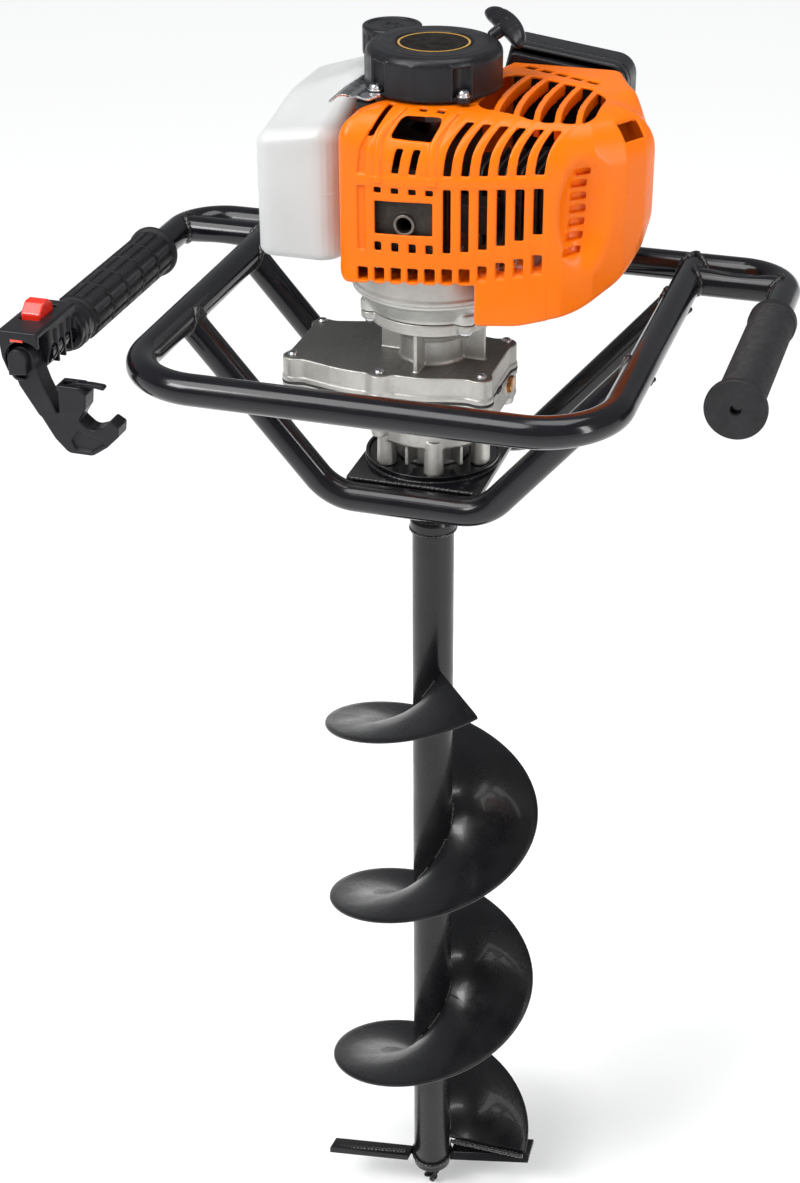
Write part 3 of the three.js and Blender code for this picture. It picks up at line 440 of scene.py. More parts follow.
def piece(name, shape, paint, body, nodes=(), bevel=0.0, sharp=38, material=None):
    mesh = bpy.data.meshes.new(name)
    mesh.from_pydata((shape.points * MM).tolist(), [], shape.faces)
    clean(mesh)
    made = bpy.data.objects.new(name, mesh)
    bpy.context.scene.collection.objects.link(made)
    if bevel:
        modifier = made.modifiers.new("bevel", "BEVEL")
        modifier.width = bevel * MM
        modifier.segments = 3
        modifier.limit_method = "ANGLE"
        modifier.angle_limit = math.radians(30)
        graph = bpy.context.evaluated_depsgraph_get()
        made.data = bpy.data.meshes.new_from_object(made.evaluated_get(graph))
        made.modifiers.clear()
        bpy.data.meshes.remove(mesh)
        made.data.name = name
    smooth_faces(made.data, sharp)
    made.data.materials.append(MATERIALS[material or paint])
    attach(made, body)
    if nodes:
        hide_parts(*nodes)
    return made


def moulded(name, space, field, paint, node, body="frame", passes=1, material=None):
    """A piece from a field, with hard edges only where its faces meet sharply."""
    piece(name, space.shape(field, passes), paint, body, [node], sharp=60, material=material)


def smooth_faces(mesh, sharp):
    work = bmesh.new()
    work.from_mesh(mesh)
    limit = math.radians(sharp)
    for face in work.faces:
        face.smooth = True
    for edge in work.edges:
        edge.smooth = edge.calc_face_angle(0) < limit
    work.to_mesh(mesh)
    work.free()


# ---- materials ----------------------------------------------------------------------------------
class Finish:
    """A node material built up from a Principled shader in object coordinates."""

    def __init__(self, name, colour, roughness, metallic=0.0, coat=0.0, specular=0.5):
        self.material = bpy.data.materials.new(name)
        self.material.use_nodes = True
        self.tree = self.material.node_tree
        self.shader = self.tree.nodes["Principled BSDF"]
        self.place = self.node("ShaderNodeTexCoord").outputs["Object"]
        self.shader.inputs["Metallic"].default_value = metallic
        self.shader.inputs["Coat Weight"].default_value = coat
        self.shader.inputs["Specular IOR Level"].default_value = specular
        self.shader.inputs["Coat Roughness"].default_value = 0.06
        self.colour = self.rgb(colour)
        self.roughness = self.number(roughness)
        self.height = None
        MATERIALS[name] = self.material

    def node(self, kind, **values):
        made = self.tree.nodes.new(kind)
        for key, value in values.items():
            setattr(made, key, value)
        return made

    def rgb(self, colour):
        made = self.node("ShaderNodeRGB")
        made.outputs[0].default_value = (*colour, 1)
        return made.outputs[0]

    def number(self, value):
        made = self.node("ShaderNodeValue")
        made.outputs[0].default_value = value
        return made.outputs[0]

    def noise(self, size, detail=4.0, stretch=(1, 1, 1), low=0.35, high=0.65):
        """Noise of that feature size in millimetres, spread to fill 0 to 1."""
        mapping = self.node("ShaderNodeMapping")
        mapping.inputs["Scale"].default_value = [1 / (size * MM * s) for s in stretch]
        texture = self.node("ShaderNodeTexNoise")
        texture.inputs["Scale"].default_value = 1.0
        texture.inputs["Detail"].default_value = detail
        self.tree.links.new(self.place, mapping.inputs["Vector"])
        self.tree.links.new(mapping.outputs["Vector"], texture.inputs["Vector"])
        return self.spread(texture.outputs["Fac"], low, high, 0, 1)

    def spread(self, value, from_low, from_high, to_low, to_high):
        made = self.node("ShaderNodeMapRange")
        self.tree.links.new(value, made.inputs["Value"])
        for key, number in zip(("From Min", "From Max", "To Min", "To Max"),
                               (from_low, from_high, to_low, to_high)):
            made.inputs[key].default_value = number
        return made.outputs["Result"]

    def math(self, operation, a, b):
        made = self.node("ShaderNodeMath", operation=operation)
        for socket, value in zip(made.inputs, (a, b)):
            if isinstance(value, (int, float)):
                socket.default_value = value
            else:
                self.tree.links.new(value, socket)
        return made.outputs[0]

    def tint(self, factor, colour, strength=1.0):
        """Mixes a colour in where factor is high."""
        made = self.node("ShaderNodeMix", data_type="RGBA")
        self.tree.links.new(self.math("MULTIPLY", factor, strength), made.inputs["Factor"])
        self.tree.links.new(self.colour, made.inputs["A"])
        made.inputs["B"].default_value = (*colour, 1)
        self.colour = made.outputs["Result"]
        return self

    def smudge(self, factor, amount):
        """Adds up to amount of roughness where factor is high."""
        self.roughness = self.math("ADD", self.roughness, self.math("MULTIPLY", factor, amount))
        return self

    def relief(self, factor, depth):
        """Adds a bump of that depth in millimetres where factor is high."""
        part = self.math("MULTIPLY", factor, depth * MM)
        self.height = part if self.height is None else self.math("ADD", self.height, part)
        return self

    def upward(self, low=0.6, high=0.98):
        """1 on faces that look up; the cast alloy is darkened there as painted shade."""
        normal = self.node("ShaderNodeNewGeometry").outputs["Normal"]
        split = self.node("ShaderNodeSeparateXYZ")
        self.tree.links.new(normal, split.inputs[0])
        return self.spread(split.outputs["Z"], low, high, 0, 1)

    def hollows(self, low=0.42, high=0.49):
        """1 in creases and inner corners, from the mesh's pointiness; paints darken these as painted shade.
        """
        pointiness = self.node("ShaderNodeNewGeometry").outputs["Pointiness"]
        return self.spread(pointiness, low, high, 1, 0)

    def edges(self, low=0.53, high=0.6):
        # 1 on sharp outer edges, from the pointiness; paints lighten these as painted highlights.
        pointiness = self.node("ShaderNodeNewGeometry").outputs["Pointiness"]
        return self.spread(pointiness, low, high, 0, 1)

    def done(self):
        self.tree.links.new(self.colour, self.shader.inputs["Base Color"])
        self.tree.links.new(self.roughness, self.shader.inputs["Roughness"])
        if self.height is not None:
            bump = self.node("ShaderNodeBump")
            bump.inputs["Distance"].default_value = 1.0
            bump.inputs["Strength"].default_value = 1.0
            self.tree.links.new(self.height, bump.inputs["Height"])
            self.tree.links.new(bump.outputs["Normal"], self.shader.inputs["Normal"])
        return self.material


def make_materials():
    gloss = Finish("frame_paint", (0.004, 0.004, 0.006), 0.13, coat=0.25, specular=0.32)
    gloss.tint(gloss.noise(60), (0.007, 0.007, 0.009)).smudge(gloss.noise(25), 0.10)
    gloss.relief(gloss.noise(2.2, 1), 0.006).relief(gloss.noise(14, 2), 0.03).done()

    bit = Finish("bit_paint", (0.005, 0.005, 0.006), 0.2, coat=0.15, specular=0.32)
    bit.tint(bit.noise(50), (0.010, 0.010, 0.011)).smudge(bit.noise(30), 0.14)
    bit.smudge(bit.noise(3, 6), 0.05)
    bit.relief(bit.noise(1.6, 1), 0.006).relief(bit.noise(18, 2), 0.05).done()

    weld = Finish("weld_paint", (0.008, 0.008, 0.009), 0.2, coat=0.3, specular=0.4)
    weld.tint(weld.noise(3), (0.03, 0.029, 0.03), 0.5).smudge(weld.noise(2), 0.15)
    weld.relief(weld.noise(0.8, 3), 0.08).done()

    bright = Finish("bright_steel", (0.55, 0.56, 0.58), 0.22, metallic=1.0)
    bright.tint(bright.noise(6), (0.36, 0.36, 0.37)).smudge(bright.noise(2, 5), 0.15)
    bright.relief(bright.noise(0.5, 2, (12, 12, 0.4)), 0.004).done()

    gear = Finish("gear_steel", (0.36, 0.37, 0.39), 0.32, metallic=1.0)
    gear.tint(gear.noise(9), (0.24, 0.24, 0.25)).smudge(gear.noise(3, 5), 0.16)
    gear.relief(gear.noise(0.7, 3), 0.012).done()

    cast = Finish("cast_alloy", (0.52, 0.51, 0.475), 0.42, metallic=0.82)
    cast.tint(cast.noise(22, 6), (0.42, 0.41, 0.385), 0.8).tint(cast.noise(1.2, 3), (0.60, 0.59, 0.56), 0.35)
    # Painted shade in creases and hollows, and painted highlights along sharp edges.
    cast.tint(cast.hollows(), (0.16, 0.155, 0.145), 0.7).tint(cast.edges(), (0.72, 0.71, 0.68), 0.5)
    # Painted shade: faces that look up are tinted much darker.
    cast.tint(cast.upward(), (0.105, 0.105, 0.10), 0.86).smudge(cast.noise(5, 5), 0.14)
    cast.relief(cast.noise(0.9, 4), 0.05).relief(cast.noise(6, 3), 0.08).done()

    shell = Finish("engine_alloy", (0.58, 0.58, 0.55), 0.4, metallic=0.8)
    # Over the random tone: painted shade in creases and hollows, then painted highlights along sharp edges on
    # the next line.
    shell.tint(shell.noise(30, 6), (0.48, 0.48, 0.455), 0.7).tint(shell.hollows(), (0.2, 0.2, 0.19), 0.6)
    shell.tint(shell.edges(), (0.76, 0.76, 0.73), 0.5).smudge(shell.noise(6, 5), 0.14)
    shell.relief(shell.noise(0.9, 4), 0.04).relief(shell.noise(7, 3), 0.06).done()

    dark = Finish("dark_steel", (0.032, 0.029, 0.027), 0.45, metallic=0.6)
    dark.tint(dark.noise(9, 6), (0.065, 0.05, 0.036), 0.6).smudge(dark.noise(3, 5), 0.22)
    dark.relief(dark.noise(1.1, 4), 0.04).done()

    # Painted shade: a much darker alloy for the engine parts that sit inside the shroud, with painted glints
    # along their sharp edges.
    interior_shade = Finish("shaded_alloy", (0.07, 0.069, 0.066), 0.5, metallic=0.7)
    interior_shade.tint(interior_shade.noise(8, 5), (0.04, 0.04, 0.038), 0.7).smudge(interior_shade.noise(3), 0.15)
    interior_shade.tint(interior_shade.edges(), (0.2, 0.2, 0.19), 0.6).relief(interior_shade.noise(1.2), 0.03).done()

    brass = Finish("brass", (0.56, 0.28, 0.09), 0.22, metallic=1.0)
    brass.tint(brass.noise(4), (0.42, 0.2, 0.07))
    brass.smudge(brass.noise(2), 0.12).relief(brass.noise(0.5), 0.01).done()

    orange = Finish("orange_plastic", (0.90, 0.172, 0.001), 0.26, coat=0.05, specular=0.24)
    orange.tint(orange.noise(70, 3), (0.84, 0.152, 0.001), 0.8)
    # Painted shade in creases and hollows, and painted highlights along sharp edges on the next line.
    orange.tint(orange.hollows(), (0.55, 0.065, 0.002), 0.55)
    orange.tint(orange.edges(), (1.0, 0.24, 0.02), 0.45).smudge(orange.noise(20), 0.10)
    orange.relief(orange.noise(0.7, 2), 0.006).relief(orange.noise(26, 1), 0.05).done()

    black = Finish("black_plastic", (0.008, 0.008, 0.010), 0.28, specular=0.3)
    # Besides the random tone, painted highlights along sharp edges.
    black.tint(black.noise(18, 4), (0.014, 0.014, 0.017), 0.8).tint(black.edges(), (0.05, 0.05, 0.056), 0.6)
    black.smudge(black.noise(9), 0.12).relief(black.noise(0.5, 3), 0.018).done()

    red = Finish("red_plastic", (0.82, 0.028, 0.012), 0.26, coat=0.3)
    # Besides the random tone, painted highlights along sharp edges.
    red.tint(red.noise(8), (0.66, 0.018, 0.008), 0.7).tint(red.edges(), (0.95, 0.09, 0.05), 0.6)
    red.smudge(red.noise(4), 0.1).relief(red.noise(0.6, 2), 0.01).done()

    rubber = Finish("grip_rubber", (0.009, 0.009, 0.010), 0.5, specular=0.35)
    rubber.tint(rubber.noise(10, 5), (0.015, 0.015, 0.017), 0.8)
    # Painted highlights along sharp edges.
    rubber.tint(rubber.edges(), (0.045, 0.045, 0.05), 0.7)
    rubber.smudge(rubber.noise(6), 0.16).relief(rubber.noise(0.35, 3), 0.03).done()

    tank = Finish("tank_plastic", (0.60, 0.61, 0.605), 0.28, specular=0.4)
    tank.tint(tank.noise(60, 3), (0.55, 0.56, 0.555), 0.7).smudge(tank.noise(14), 0.14)
    tank.relief(tank.noise(1.1, 2), 0.02).relief(tank.noise(35, 1), 0.35)
    tank.shader.inputs["Subsurface Weight"].default_value = 0.35
    tank.shader.inputs["Subsurface Radius"].default_value = (0.02, 0.02, 0.018)
    tank.shader.inputs["Subsurface Scale"].default_value = 0.5
    tank.done()

    paper = Finish("gasket_paper", (0.02, 0.021, 0.02), 0.7)
    paper.tint(paper.noise(3), (0.035, 0.035, 0.033)).relief(paper.noise(0.8, 4), 0.05).done()

    zinc = Finish("zinc", (0.66, 0.67, 0.68), 0.2, metallic=1.0)
    zinc.tint(zinc.noise(4, 5), (0.5, 0.5, 0.52), 0.7).smudge(zinc.noise(1.5, 5), 0.14)
    zinc.relief(zinc.noise(0.4, 3), 0.008).done()

    worn = Finish("worn_steel", (0.23, 0.21, 0.19), 0.35, metallic=0.9)
    worn.tint(worn.noise(5), (0.12, 0.10, 0.08), 0.7)
    worn.smudge(worn.noise(2), 0.2).relief(worn.noise(0.6), 0.02).done()

    rope = Finish("rope_fibre", (0.62, 0.6, 0.56), 0.8)
    rope.tint(rope.noise(3), (0.45, 0.43, 0.39), 0.7)
    rope.smudge(rope.noise(2), 0.1).relief(rope.noise(0.4), 0.04).done()

    label = Finish("label_film", (0.006, 0.005, 0.004), 0.4, specular=0.06)
    label.tint(label.noise(8), (0.016, 0.014, 0.012)).smudge(label.noise(3), 0.08).done()

    gold = Finish("label_ring", (0.75, 0.42, 0.06), 0.3, metallic=0.3, coat=0.4)
    gold.tint(gold.noise(5), (0.62, 0.33, 0.05)).smudge(gold.noise(2), 0.08).done()


make_materials()


def dress_frame_nodes():
    """Every CAD node gets the finish of its slot, so that none that shows is plain."""
    for part in frame["record"]["subparts"]:
        held = frame["nodes"][part["node"]].data
        held.materials.clear()
        held.materials.append(MATERIALS[part["material_slot"]])
        smooth_faces(held, 38)


dress_frame_nodes()


# ---- welds --------------------------------------------------------------------------------------
def bead(route, radius=2.6, closed=True):
    """A weld bead: a round string whose ripples are the welder's stacked drops."""
    drops = random.uniform(0, 6)

    def section(i, share):
        ripple = 1 + 0.16 * math.sin(2.1 * i + drops) + random.uniform(-0.13, 0.13)
        return circle(radius * ripple, 10)[:, :2]

    return along_route(route, section, closed)


def saddle(point, along, radius, axis, other_radius, count=56):
    """The line where a tube that runs from point along a direction meets a tube about an axis."""
    along, axis = Vector(along).normalized(), Vector(axis).normalized()
    side = along.cross(axis).normalized()
    up = along.cross(side)
    route = []
    for i in range(count):
        angle = 2 * math.pi * i / count
        spoke = (side * math.cos(angle) + up * math.sin(angle)) * radius
        flat_spoke = spoke - axis * spoke.dot(axis)
        flat_along = along - axis * along.dot(axis)
        a, b = flat_along.length_squared, flat_spoke.dot(flat_along)
        c = flat_spoke.length_squared - other_radius ** 2
        reach = (-b + math.sqrt(max(b * b - a * c, 0))) / a
        route.append(Vector(point) + spoke + along * reach)
    return route


# ---- frame --------------------------------------------------------------------------------------
LEFT_TUBE_END = low("handlebar_tube").y
RIGHT_TUBE_END = low("right_grip").y + 6


def make_handlebar():
    route = bend([(-HANDLE_X, LEFT_TUBE_END, FRAME_Z), (-HANDLE_X, REAR_Y, FRAME_Z, HANDLE_BEND),
                  (HANDLE_X, REAR_Y, FRAME_Z, HANDLE_BEND), (HANDLE_X, RIGHT_TUBE_END, FRAME_Z)], 24)
    piece("handlebar", pipe(route, TUBE_R, 56), "frame_paint", "frame", ["handlebar_tube"])


def make_hoop():
    route = bend([(-HOOP_X, REAR_Y, FRAME_Z), (-HOOP_X, FRONT_Y, FRAME_Z, HOOP_BEND),
                  (HOOP_X, FRONT_Y, FRAME_Z, HOOP_BEND), (HOOP_X, REAR_Y, FRAME_Z)], 24)
    piece("hoop", pipe(route, TUBE_R, 56), "frame_paint", "frame", ["hoop_tube"])


def cradle_route(y):
    return bend([(-HOOP_X, y, FRAME_Z), (-CRADLE_X, y, CRADLE_Z, CRADLE_BEND),
                 (CRADLE_X, y, CRADLE_Z, CRADLE_BEND), (HOOP_X, y, FRAME_Z)], 20)


def make_cradle():
    for name, y in (("front", -CRADLE_Y), ("rear", CRADLE_Y)):
        shape = pipe(cradle_route(y), TUBE_R, 56)
        piece(f"cradle_{name}", shape, "frame_paint", "frame", [f"cradle_tube_{name}"])


def make_gussets():
    """Short tubes between hoop and handle, pinched flat with one long dent towards the operator."""
    steps = 30
    for name, side in (("left", -1), ("right", 1)):
        route = [(side * (HOOP_X + (HANDLE_X - HOOP_X) * i / steps), GUSSET_Y, FRAME_Z)
                 for i in range(steps + 1)]

        def section(i, share):
            dent = math.exp(-((share - 0.5) / 0.2) ** 2)
            flat = circle(GUSSET_R, 56)[:, :2]
            angle = np.arctan2(flat[:, 1], flat[:, 0])
            pull = 1 - 0.34 * dent * np.exp(-((angle - side * 0.6) / 0.45) ** 2)
            return flat * pull[:, None]

        shape = along_route(route, section)
        piece(f"gusset_tube_{name}", shape, "frame_paint", "frame", [f"gusset_{name}"])


def make_base_plate():
    x0, y0, z0 = PLATE_LOW
    x1, y1, z1 = PLATE_HIGH
    plate = prism([(x0, y0, 3), (x1, y0, 3), (x1, y1, 3), (x0, y1, 3)], z0, z1)
    plate = cut(plate, rod(PLATE_HOLE_R, (0, 0, z0 - 5), (0, 0, z1 + 5), 72))
    piece("base_plate_welded", plate, "frame_paint", "frame", ["base_plate"], bevel=0.8)
    z = low("flange_ring").z
    dish = lathe([(PLATE_HOLE_R, z), (57, z, 1.2), (DISH_R, z + 6, 0.8), (55.8, z + 6, 0.8),
                  (54.4, z + 3.7, 1.5), (PLATE_HOLE_R, z + 3.7)], 120)
    piece("flange_dish", dish, "frame_paint", "frame", ["flange_ring"])


def make_frame_welds():
    beads = []
    for side in (-1, 1):
        beads.append(saddle((side * HOOP_X, REAR_Y, FRAME_Z), (0, -1, 0), TUBE_R, (1, 0, 0), TUBE_R))
        beads.append(saddle((side * HOOP_X, GUSSET_Y, FRAME_Z), (side, 0, 0), GUSSET_R, (0, 1, 0), TUBE_R))
        beads.append(saddle((side * HANDLE_X, GUSSET_Y, FRAME_Z), (-side, 0, 0), GUSSET_R, (0, 1, 0), TUBE_R))
        for y in (-CRADLE_Y, CRADLE_Y):
            down = Vector((side * (CRADLE_X - HOOP_X), 0, CRADLE_Z - FRAME_Z))
            beads.append(saddle((side * HOOP_X, y, FRAME_Z), down, TUBE_R, (0, 1, 0), TUBE_R))
    shape = together(bead(route) for route in beads)
    for y in (-1, 1):
        edge = y * (PLATE_HIGH.y + 0.5)
        for z, radius in ((PLATE_LOW.z - 1.5, 2.2), (PLATE_HIGH.z, 1.8)):
            line = [(x, edge, z) for x in np.arange(PLATE_LOW.x + 3, PLATE_HIGH.x - 3, 1.4)]
            shape += bead(line, radius, False)
    shape += bead(circle(DISH_R - 0.9, 219, PLATE_HIGH.z + 0.6), 1.3)
    piece("frame_welds", shape, "frame_paint", "frame", material="weld_paint", sharp=80)


make_handlebar()
make_hoop()
make_cradle()
make_gussets()
make_base_plate()
make_frame_welds()


# ---- grips --------------------------------------------------------------------------------------
def along_handle(shape, side):
    """Lays a shape that was made about Z along a handle: its +Z becomes +Y."""
    return shape.turned(-90, "X").moved(side * HANDLE_X, 0, FRAME_Z)


def make_left_grip():
    """Five bands of raised lengthwise bars between plain rings, and a thumb flange."""
    y0, y1 = low("left_grip").y, high("left_grip").y
    bore, base, top = TUBE_R + 0.3, 19.2, 20.7
    sleeve = lathe([(bore, y0, 0.5), (base, y0, 1.2), (base, y1 - 8, 2), (22.6, y1 - 6.5, 2),
                    (23, y1 - 2.5, 2), (21.5, y1, 1.2), (bore, y1, 0.5)], 96)
    outline = [(base - 1.5, -2.9), (top - 0.8, -2.9), (top, -1.9), (top, 1.9), (top - 0.8, 2.9),
               (base - 1.5, 2.9)]
    bars = []
    band, gap = 27.5, 4.5
    for i in range(5):
        start = y0 + 5 + i * (band + gap)
        for j in range(14):
            bars.append(prism(outline, start, start + band).turned(360 * j / 14))
        bars.append(lathe([(base - 1, start + band + 1), (top - 0.3, start + band + 1.4, 0.5),
                           (top - 0.3, start + band + 3.1, 0.5), (base - 1, start + band + 3.5)], 96))
    grip = along_handle(together([sleeve, *bars]), -1)
    piece("grip_left", grip, "grip_rubber", "frame", ["left_grip"], bevel=0.35)


def make_right_grip():
    y0, y1 = low("right_grip").y, high("right_grip").y
    bore = TUBE_R + 0.3
    profile = [(4.5, y0, 0.4), (24.5, y0, 1.4), (24.5, y0 + 5.6, 1.6), (20.6, y0 + 7.6, 0.8),
               (20.2, y0 + 13, 1), (18.9, y0 + 14.2)]
    y = y0 + 15.4
    while y < y1 - 15:
        profile += [(18.7, y), (18.05, y + 0.5), (18.05, y + 0.9), (18.7, y + 1.4)]
        y += 2.0
    profile += [(18.6, y1 - 13), (20, y1 - 11.5, 1), (20, y1 - 2.5, 1.5), (18, y1, 1), (bore, y1),
                (bore, y0 + 5), (4.5, y0 + 5)]
    piece("grip_right", along_handle(lathe(profile, 120, 4), 1), "grip_rubber", "frame", ["right_grip"])


make_left_grip()
make_right_grip()


# ---- bit ----------------------------------------------------------------------------------------
FLIGHT_Z0 = 68
PITCH = 199
FLIGHT_TURNS = 2.86
FLIGHT_T = 4


def spiral_ring(turn, section, lift=0.0):
    angle = 2 * math.pi * turn
    flat = np.array(section)
    return np.stack([flat[:, 0] * math.cos(angle), flat[:, 0] * math.sin(angle),
                     FLIGHT_Z0 + PITCH * turn + flat[:, 1] + lift], 1)


def make_flights():
    """Rolled screw plate: the outer edge is rounded and a little thinner than the root."""
    half = FLIGHT_T / 2
    edge = [(BIT_R - 1.6, -half * 0.85), (BIT_R - 0.5, -half * 0.6), (BIT_R, 0), (BIT_R - 0.5, half * 0.6),
            (BIT_R - 1.6, half * 0.85)]
    lower_face = [(r, -half) for r in np.linspace(BIT_TUBE_R - 1, BIT_R - 6, 9)]
    upper_face = [(r, half) for r in np.linspace(BIT_R - 6, BIT_TUBE_R - 1, 9)]
    section = lower_face + edge + upper_face
    steps = 110
    third = FLIGHT_TURNS / 3
    for i, name in enumerate(("lower", "middle", "upper")):
        turns = np.linspace(i * third, (i + 1) * third, steps)
        shape = loft([spiral_ring(turn, section) for turn in turns])
        piece(f"flight_turn_{name}", shape, "bit_paint", "bit", [f"flight_{name}"])


def make_bit_tube():
    z0, z1 = low("bit_tube").z, BIT_TUBE_TOP
    bore, collar, shaft_bore = BIT_TUBE_R - 3, 20.5, 12.8
    body = lathe([(bore, z0), (BIT_TUBE_R, z0, 0.8), (BIT_TUBE_R, z1 - 12), (collar, z1 - 10.5, 1),
                  (collar, z1 - 3, 1), (19, z1, 0.8), (shaft_bore, z1, 0.5), (shaft_bore, z1 - 60),
                  (bore, z1 - 64)], 96)
    piece("screw_tube", body, "bit_paint", "bit", ["bit_tube"])
    welds = bead(circle(19.6, 89, z1 - 11.5), 1.7) + bead(circle(17.6, 89, z1 + 0.2), 1.2)
    piece("tube_end_weld", welds, "bit_paint", "bit", material="weld_paint", sharp=80)


def make_flight_welds():
    """A fillet along both sides of the flight's root, in runs with bare gaps between them."""
    runs = []
    for lift in (-FLIGHT_T / 2 - 0.6, FLIGHT_T / 2 + 0.6):
        for k in range(19):
            start = 0.02 + k * 0.15
            turns = np.arange(start, min(start + 0.1, FLIGHT_TURNS), 0.006)
            route = [spiral_ring(turn, [(BIT_TUBE_R + 0.2, lift)])[0] for turn in turns]
            runs.append(bead(route, 1.5, False))
    piece("flight_welds", together(runs), "bit_paint", "bit", material="weld_paint", sharp=80)


BLADE_Z = 42
BLADE_TILT = 12
BLADE_X = (20, 100)
BLADE_SWEEP = 16


def blade_shape():
    """A flat bar with a ground cutting edge along its leading side."""
    half = 3
    section = [(-2, -half), (6, -half - 0.4), (24, -half), (24, half), (4, half)]
    inner = np.array([(BLADE_X[0], y - 2, z) for y, z in section])
    outer = np.array([(BLADE_X[1], y - 2 + BLADE_SWEEP, z) for y, z in section])
    return loft([inner, outer]).turned(BLADE_TILT, "X").moved(0, 0, BLADE_Z)


def make_blades():
    for name, turn in (("right", 0), ("left", 180)):
        shape = blade_shape().turned(turn)
        piece(f"cutting_blade_{name}", shape, "bit_paint", "bit", [f"blade_{name}"], bevel=0.5)
    route = []
    for i in range(60):
        x = 24 + 74 * i / 59
        route.append((x, 17 + 14 * (x - 20) / 80, BLADE_Z + 8.5 - 0.02 * (x - 20)))
    runs = bead(route, 2.3, False)
    runs += bead([(-x, -y, z) for x, y, z in route], 2.3, False)
    foot_r = 19.2
    runs += bead([(x, y, BLADE_Z + 1 + 4 * y / foot_r) for x, y, _ in circle(foot_r, 79)], 2.0)
    runs += bead([(x, -3, FLIGHT_Z0 - 3.5) for x in np.arange(21, 98, 1.3)], 2.2, False)
    piece("blade_welds", runs, "bit_paint", "bit", material="weld_paint", sharp=80)


def make_pilot_point():
    """A twisted point: a flat bar with notched edges, turned round its own axis."""
    rings = []
    for share in np.linspace(0, 1, 90):
        z = 30 * share
        twist = math.radians(520 * share)
        wide = 2.2 + 8.6 * min(1, share * 2.4) * (0.72 + 0.28 * math.cos(share * 26))
        thick = 1.2 + 3.4 * min(1, share * 2.5)
        flat = circle(1, 28)[:, :2] * (wide, thick)
        c, s = math.cos(twist), math.sin(twist)
        x, y = flat.T
        rings.append(np.stack([x * c - y * s, x * s + y * c, np.full(28, z)], 1))
    shape = loft(rings) + lathe([(0, 26), (12, 27, 1), (15, 31, 2), (15, 44), (0, 44)], 64)
    piece("twisted_point", shape, "bit_paint", "bit", ["pilot_point"], sharp=60)


make_flights()
make_bit_tube()
make_flight_welds()
make_blades()
make_pilot_point()


# ---- gearbox ------------------------------------------------------------------------------------
CASE_BOLTS = [(53, -40), (53, 40), (-31, -54), (-31, 54), (-112, -38), (-112, 38)]
IDLER_X = -50
BELL_TOP = 989.8
PLUG_X, PLUG_Y, PLUG_Z = 59.8, 24, 913
FOOT_BOSSES = places_round(46, [-73 + 60 * i for i in range(6)])
BELL_SCREWS = places_round(54, (-147, -45, 57, 135))


def case_plan(space, grow=0.0):
    """The case's walls: round over each big gear, straight between, with a lobe for each screw."""
    half = [(59, -38), (48, -45), (10, -52), (-31, -55), (-75, -52), (-112, -42), (-118, -36)]
    walls = space.plan([*half, *((x, -y) for x, y in reversed(half))])
    walls = fuse(walls, fuse(space.post(54.5, -2, 0), space.post(56, IDLER_X, 0)), 4)
    for x, y in CASE_BOLTS:
        walls = fuse(walls, space.post(8.6, x, y), 7)
    return walls - grow


def make_upper_case():
    z = GASKET_Z + 1.3
    space = Space((-121, -64, z), (63, 64, 990), 0.8)
    plan = case_plan(space)
    body = rolled(plan, space.between(z, CASE_TOP), 1.2)
    flange = rolled(case_plan(space, 0.9), space.between(z, z + 4.5), 0.8)
    body = fuse(body, flange, 1.5)
    for x, y in CASE_BOLTS:
        body = fuse(body, space.disc(6.4, x, y, z, CASE_TOP + 0.5), 1.2)
    neck = fuse(space.disc(27.5, 0, 0, CASE_TOP - 2, 976), space.cone(27.5, 968, 44, 981), 5)
    neck = fuse(neck, rolled(space.post(53.6, 0, 0), space.between(979.5, BELL_TOP), 1.2), 3)
    for x, y, _ in BELL_SCREWS:
        neck = fuse(neck, rolled(space.post(8.2, x, y), space.between(983.5, BELL_TOP), 1), 2.5)
    body = fuse(body, neck, 4)
    for i in range(4):
        body = fuse(body, space.brick(20, 46, -1.8, 1.8, CASE_TOP - 1, 981, -93 + 90 * i), 2.2)
    for x, y, turn in ((26, -28, -3), (-16, -30, 2)):
        ridge = space.brick(x - 0.9, x + 0.9, y - 12, y + 12, CASE_TOP - 1, CASE_TOP + 0.6, turn)
        body = fuse(body, ridge, 1)
    body = within(body, space.between(z, BELL_TOP))
    moulded("upper_case_casting", space, body, "cast_alloy", "gearbox_upper_case")


def make_lower_case():
    z0, z1 = low("gearbox_lower_case").z, GASKET_Z - 0.3
    space = Space((-121, -64, z0), (63, 64, z1), 0.8)
    body = rolled(case_plan(space), space.between(895, z1), 3)
    body = fuse(body, rolled(case_plan(space, 0.9), space.between(z1 - 4.5, z1), 0.8), 1.5)
    hub = fuse(space.disc(31, 0, 0, z0, 884), rolled(space.post(50, 0, 0), space.between(877, 900), 2), 5)
    body = fuse(body, hub, 3)
    for x, y, angle in FOOT_BOSSES:
        body = fuse(body, space.cone(8.5, z0, 7.6, 884, x, y), 2.5)
        body = fuse(body, space.brick(24, 47, -1.5, 1.5, z0 + 5, 882, angle + 30), 2)
    for x, y in CASE_BOLTS:
        body = fuse(body, space.cone(6.5, 888, 8.8, 900, x, y), 2)
    boss = rolled(np.hypot(space.y - PLUG_Y, space.z - PLUG_Z) - 9.2, space.wide(40, PLUG_X), 0.8)
    body = fuse(body, boss, 2)
    body = within(body, space.between(z0, z1))
    moulded("lower_case_casting", space, body, "cast_alloy", "gearbox_lower_case")


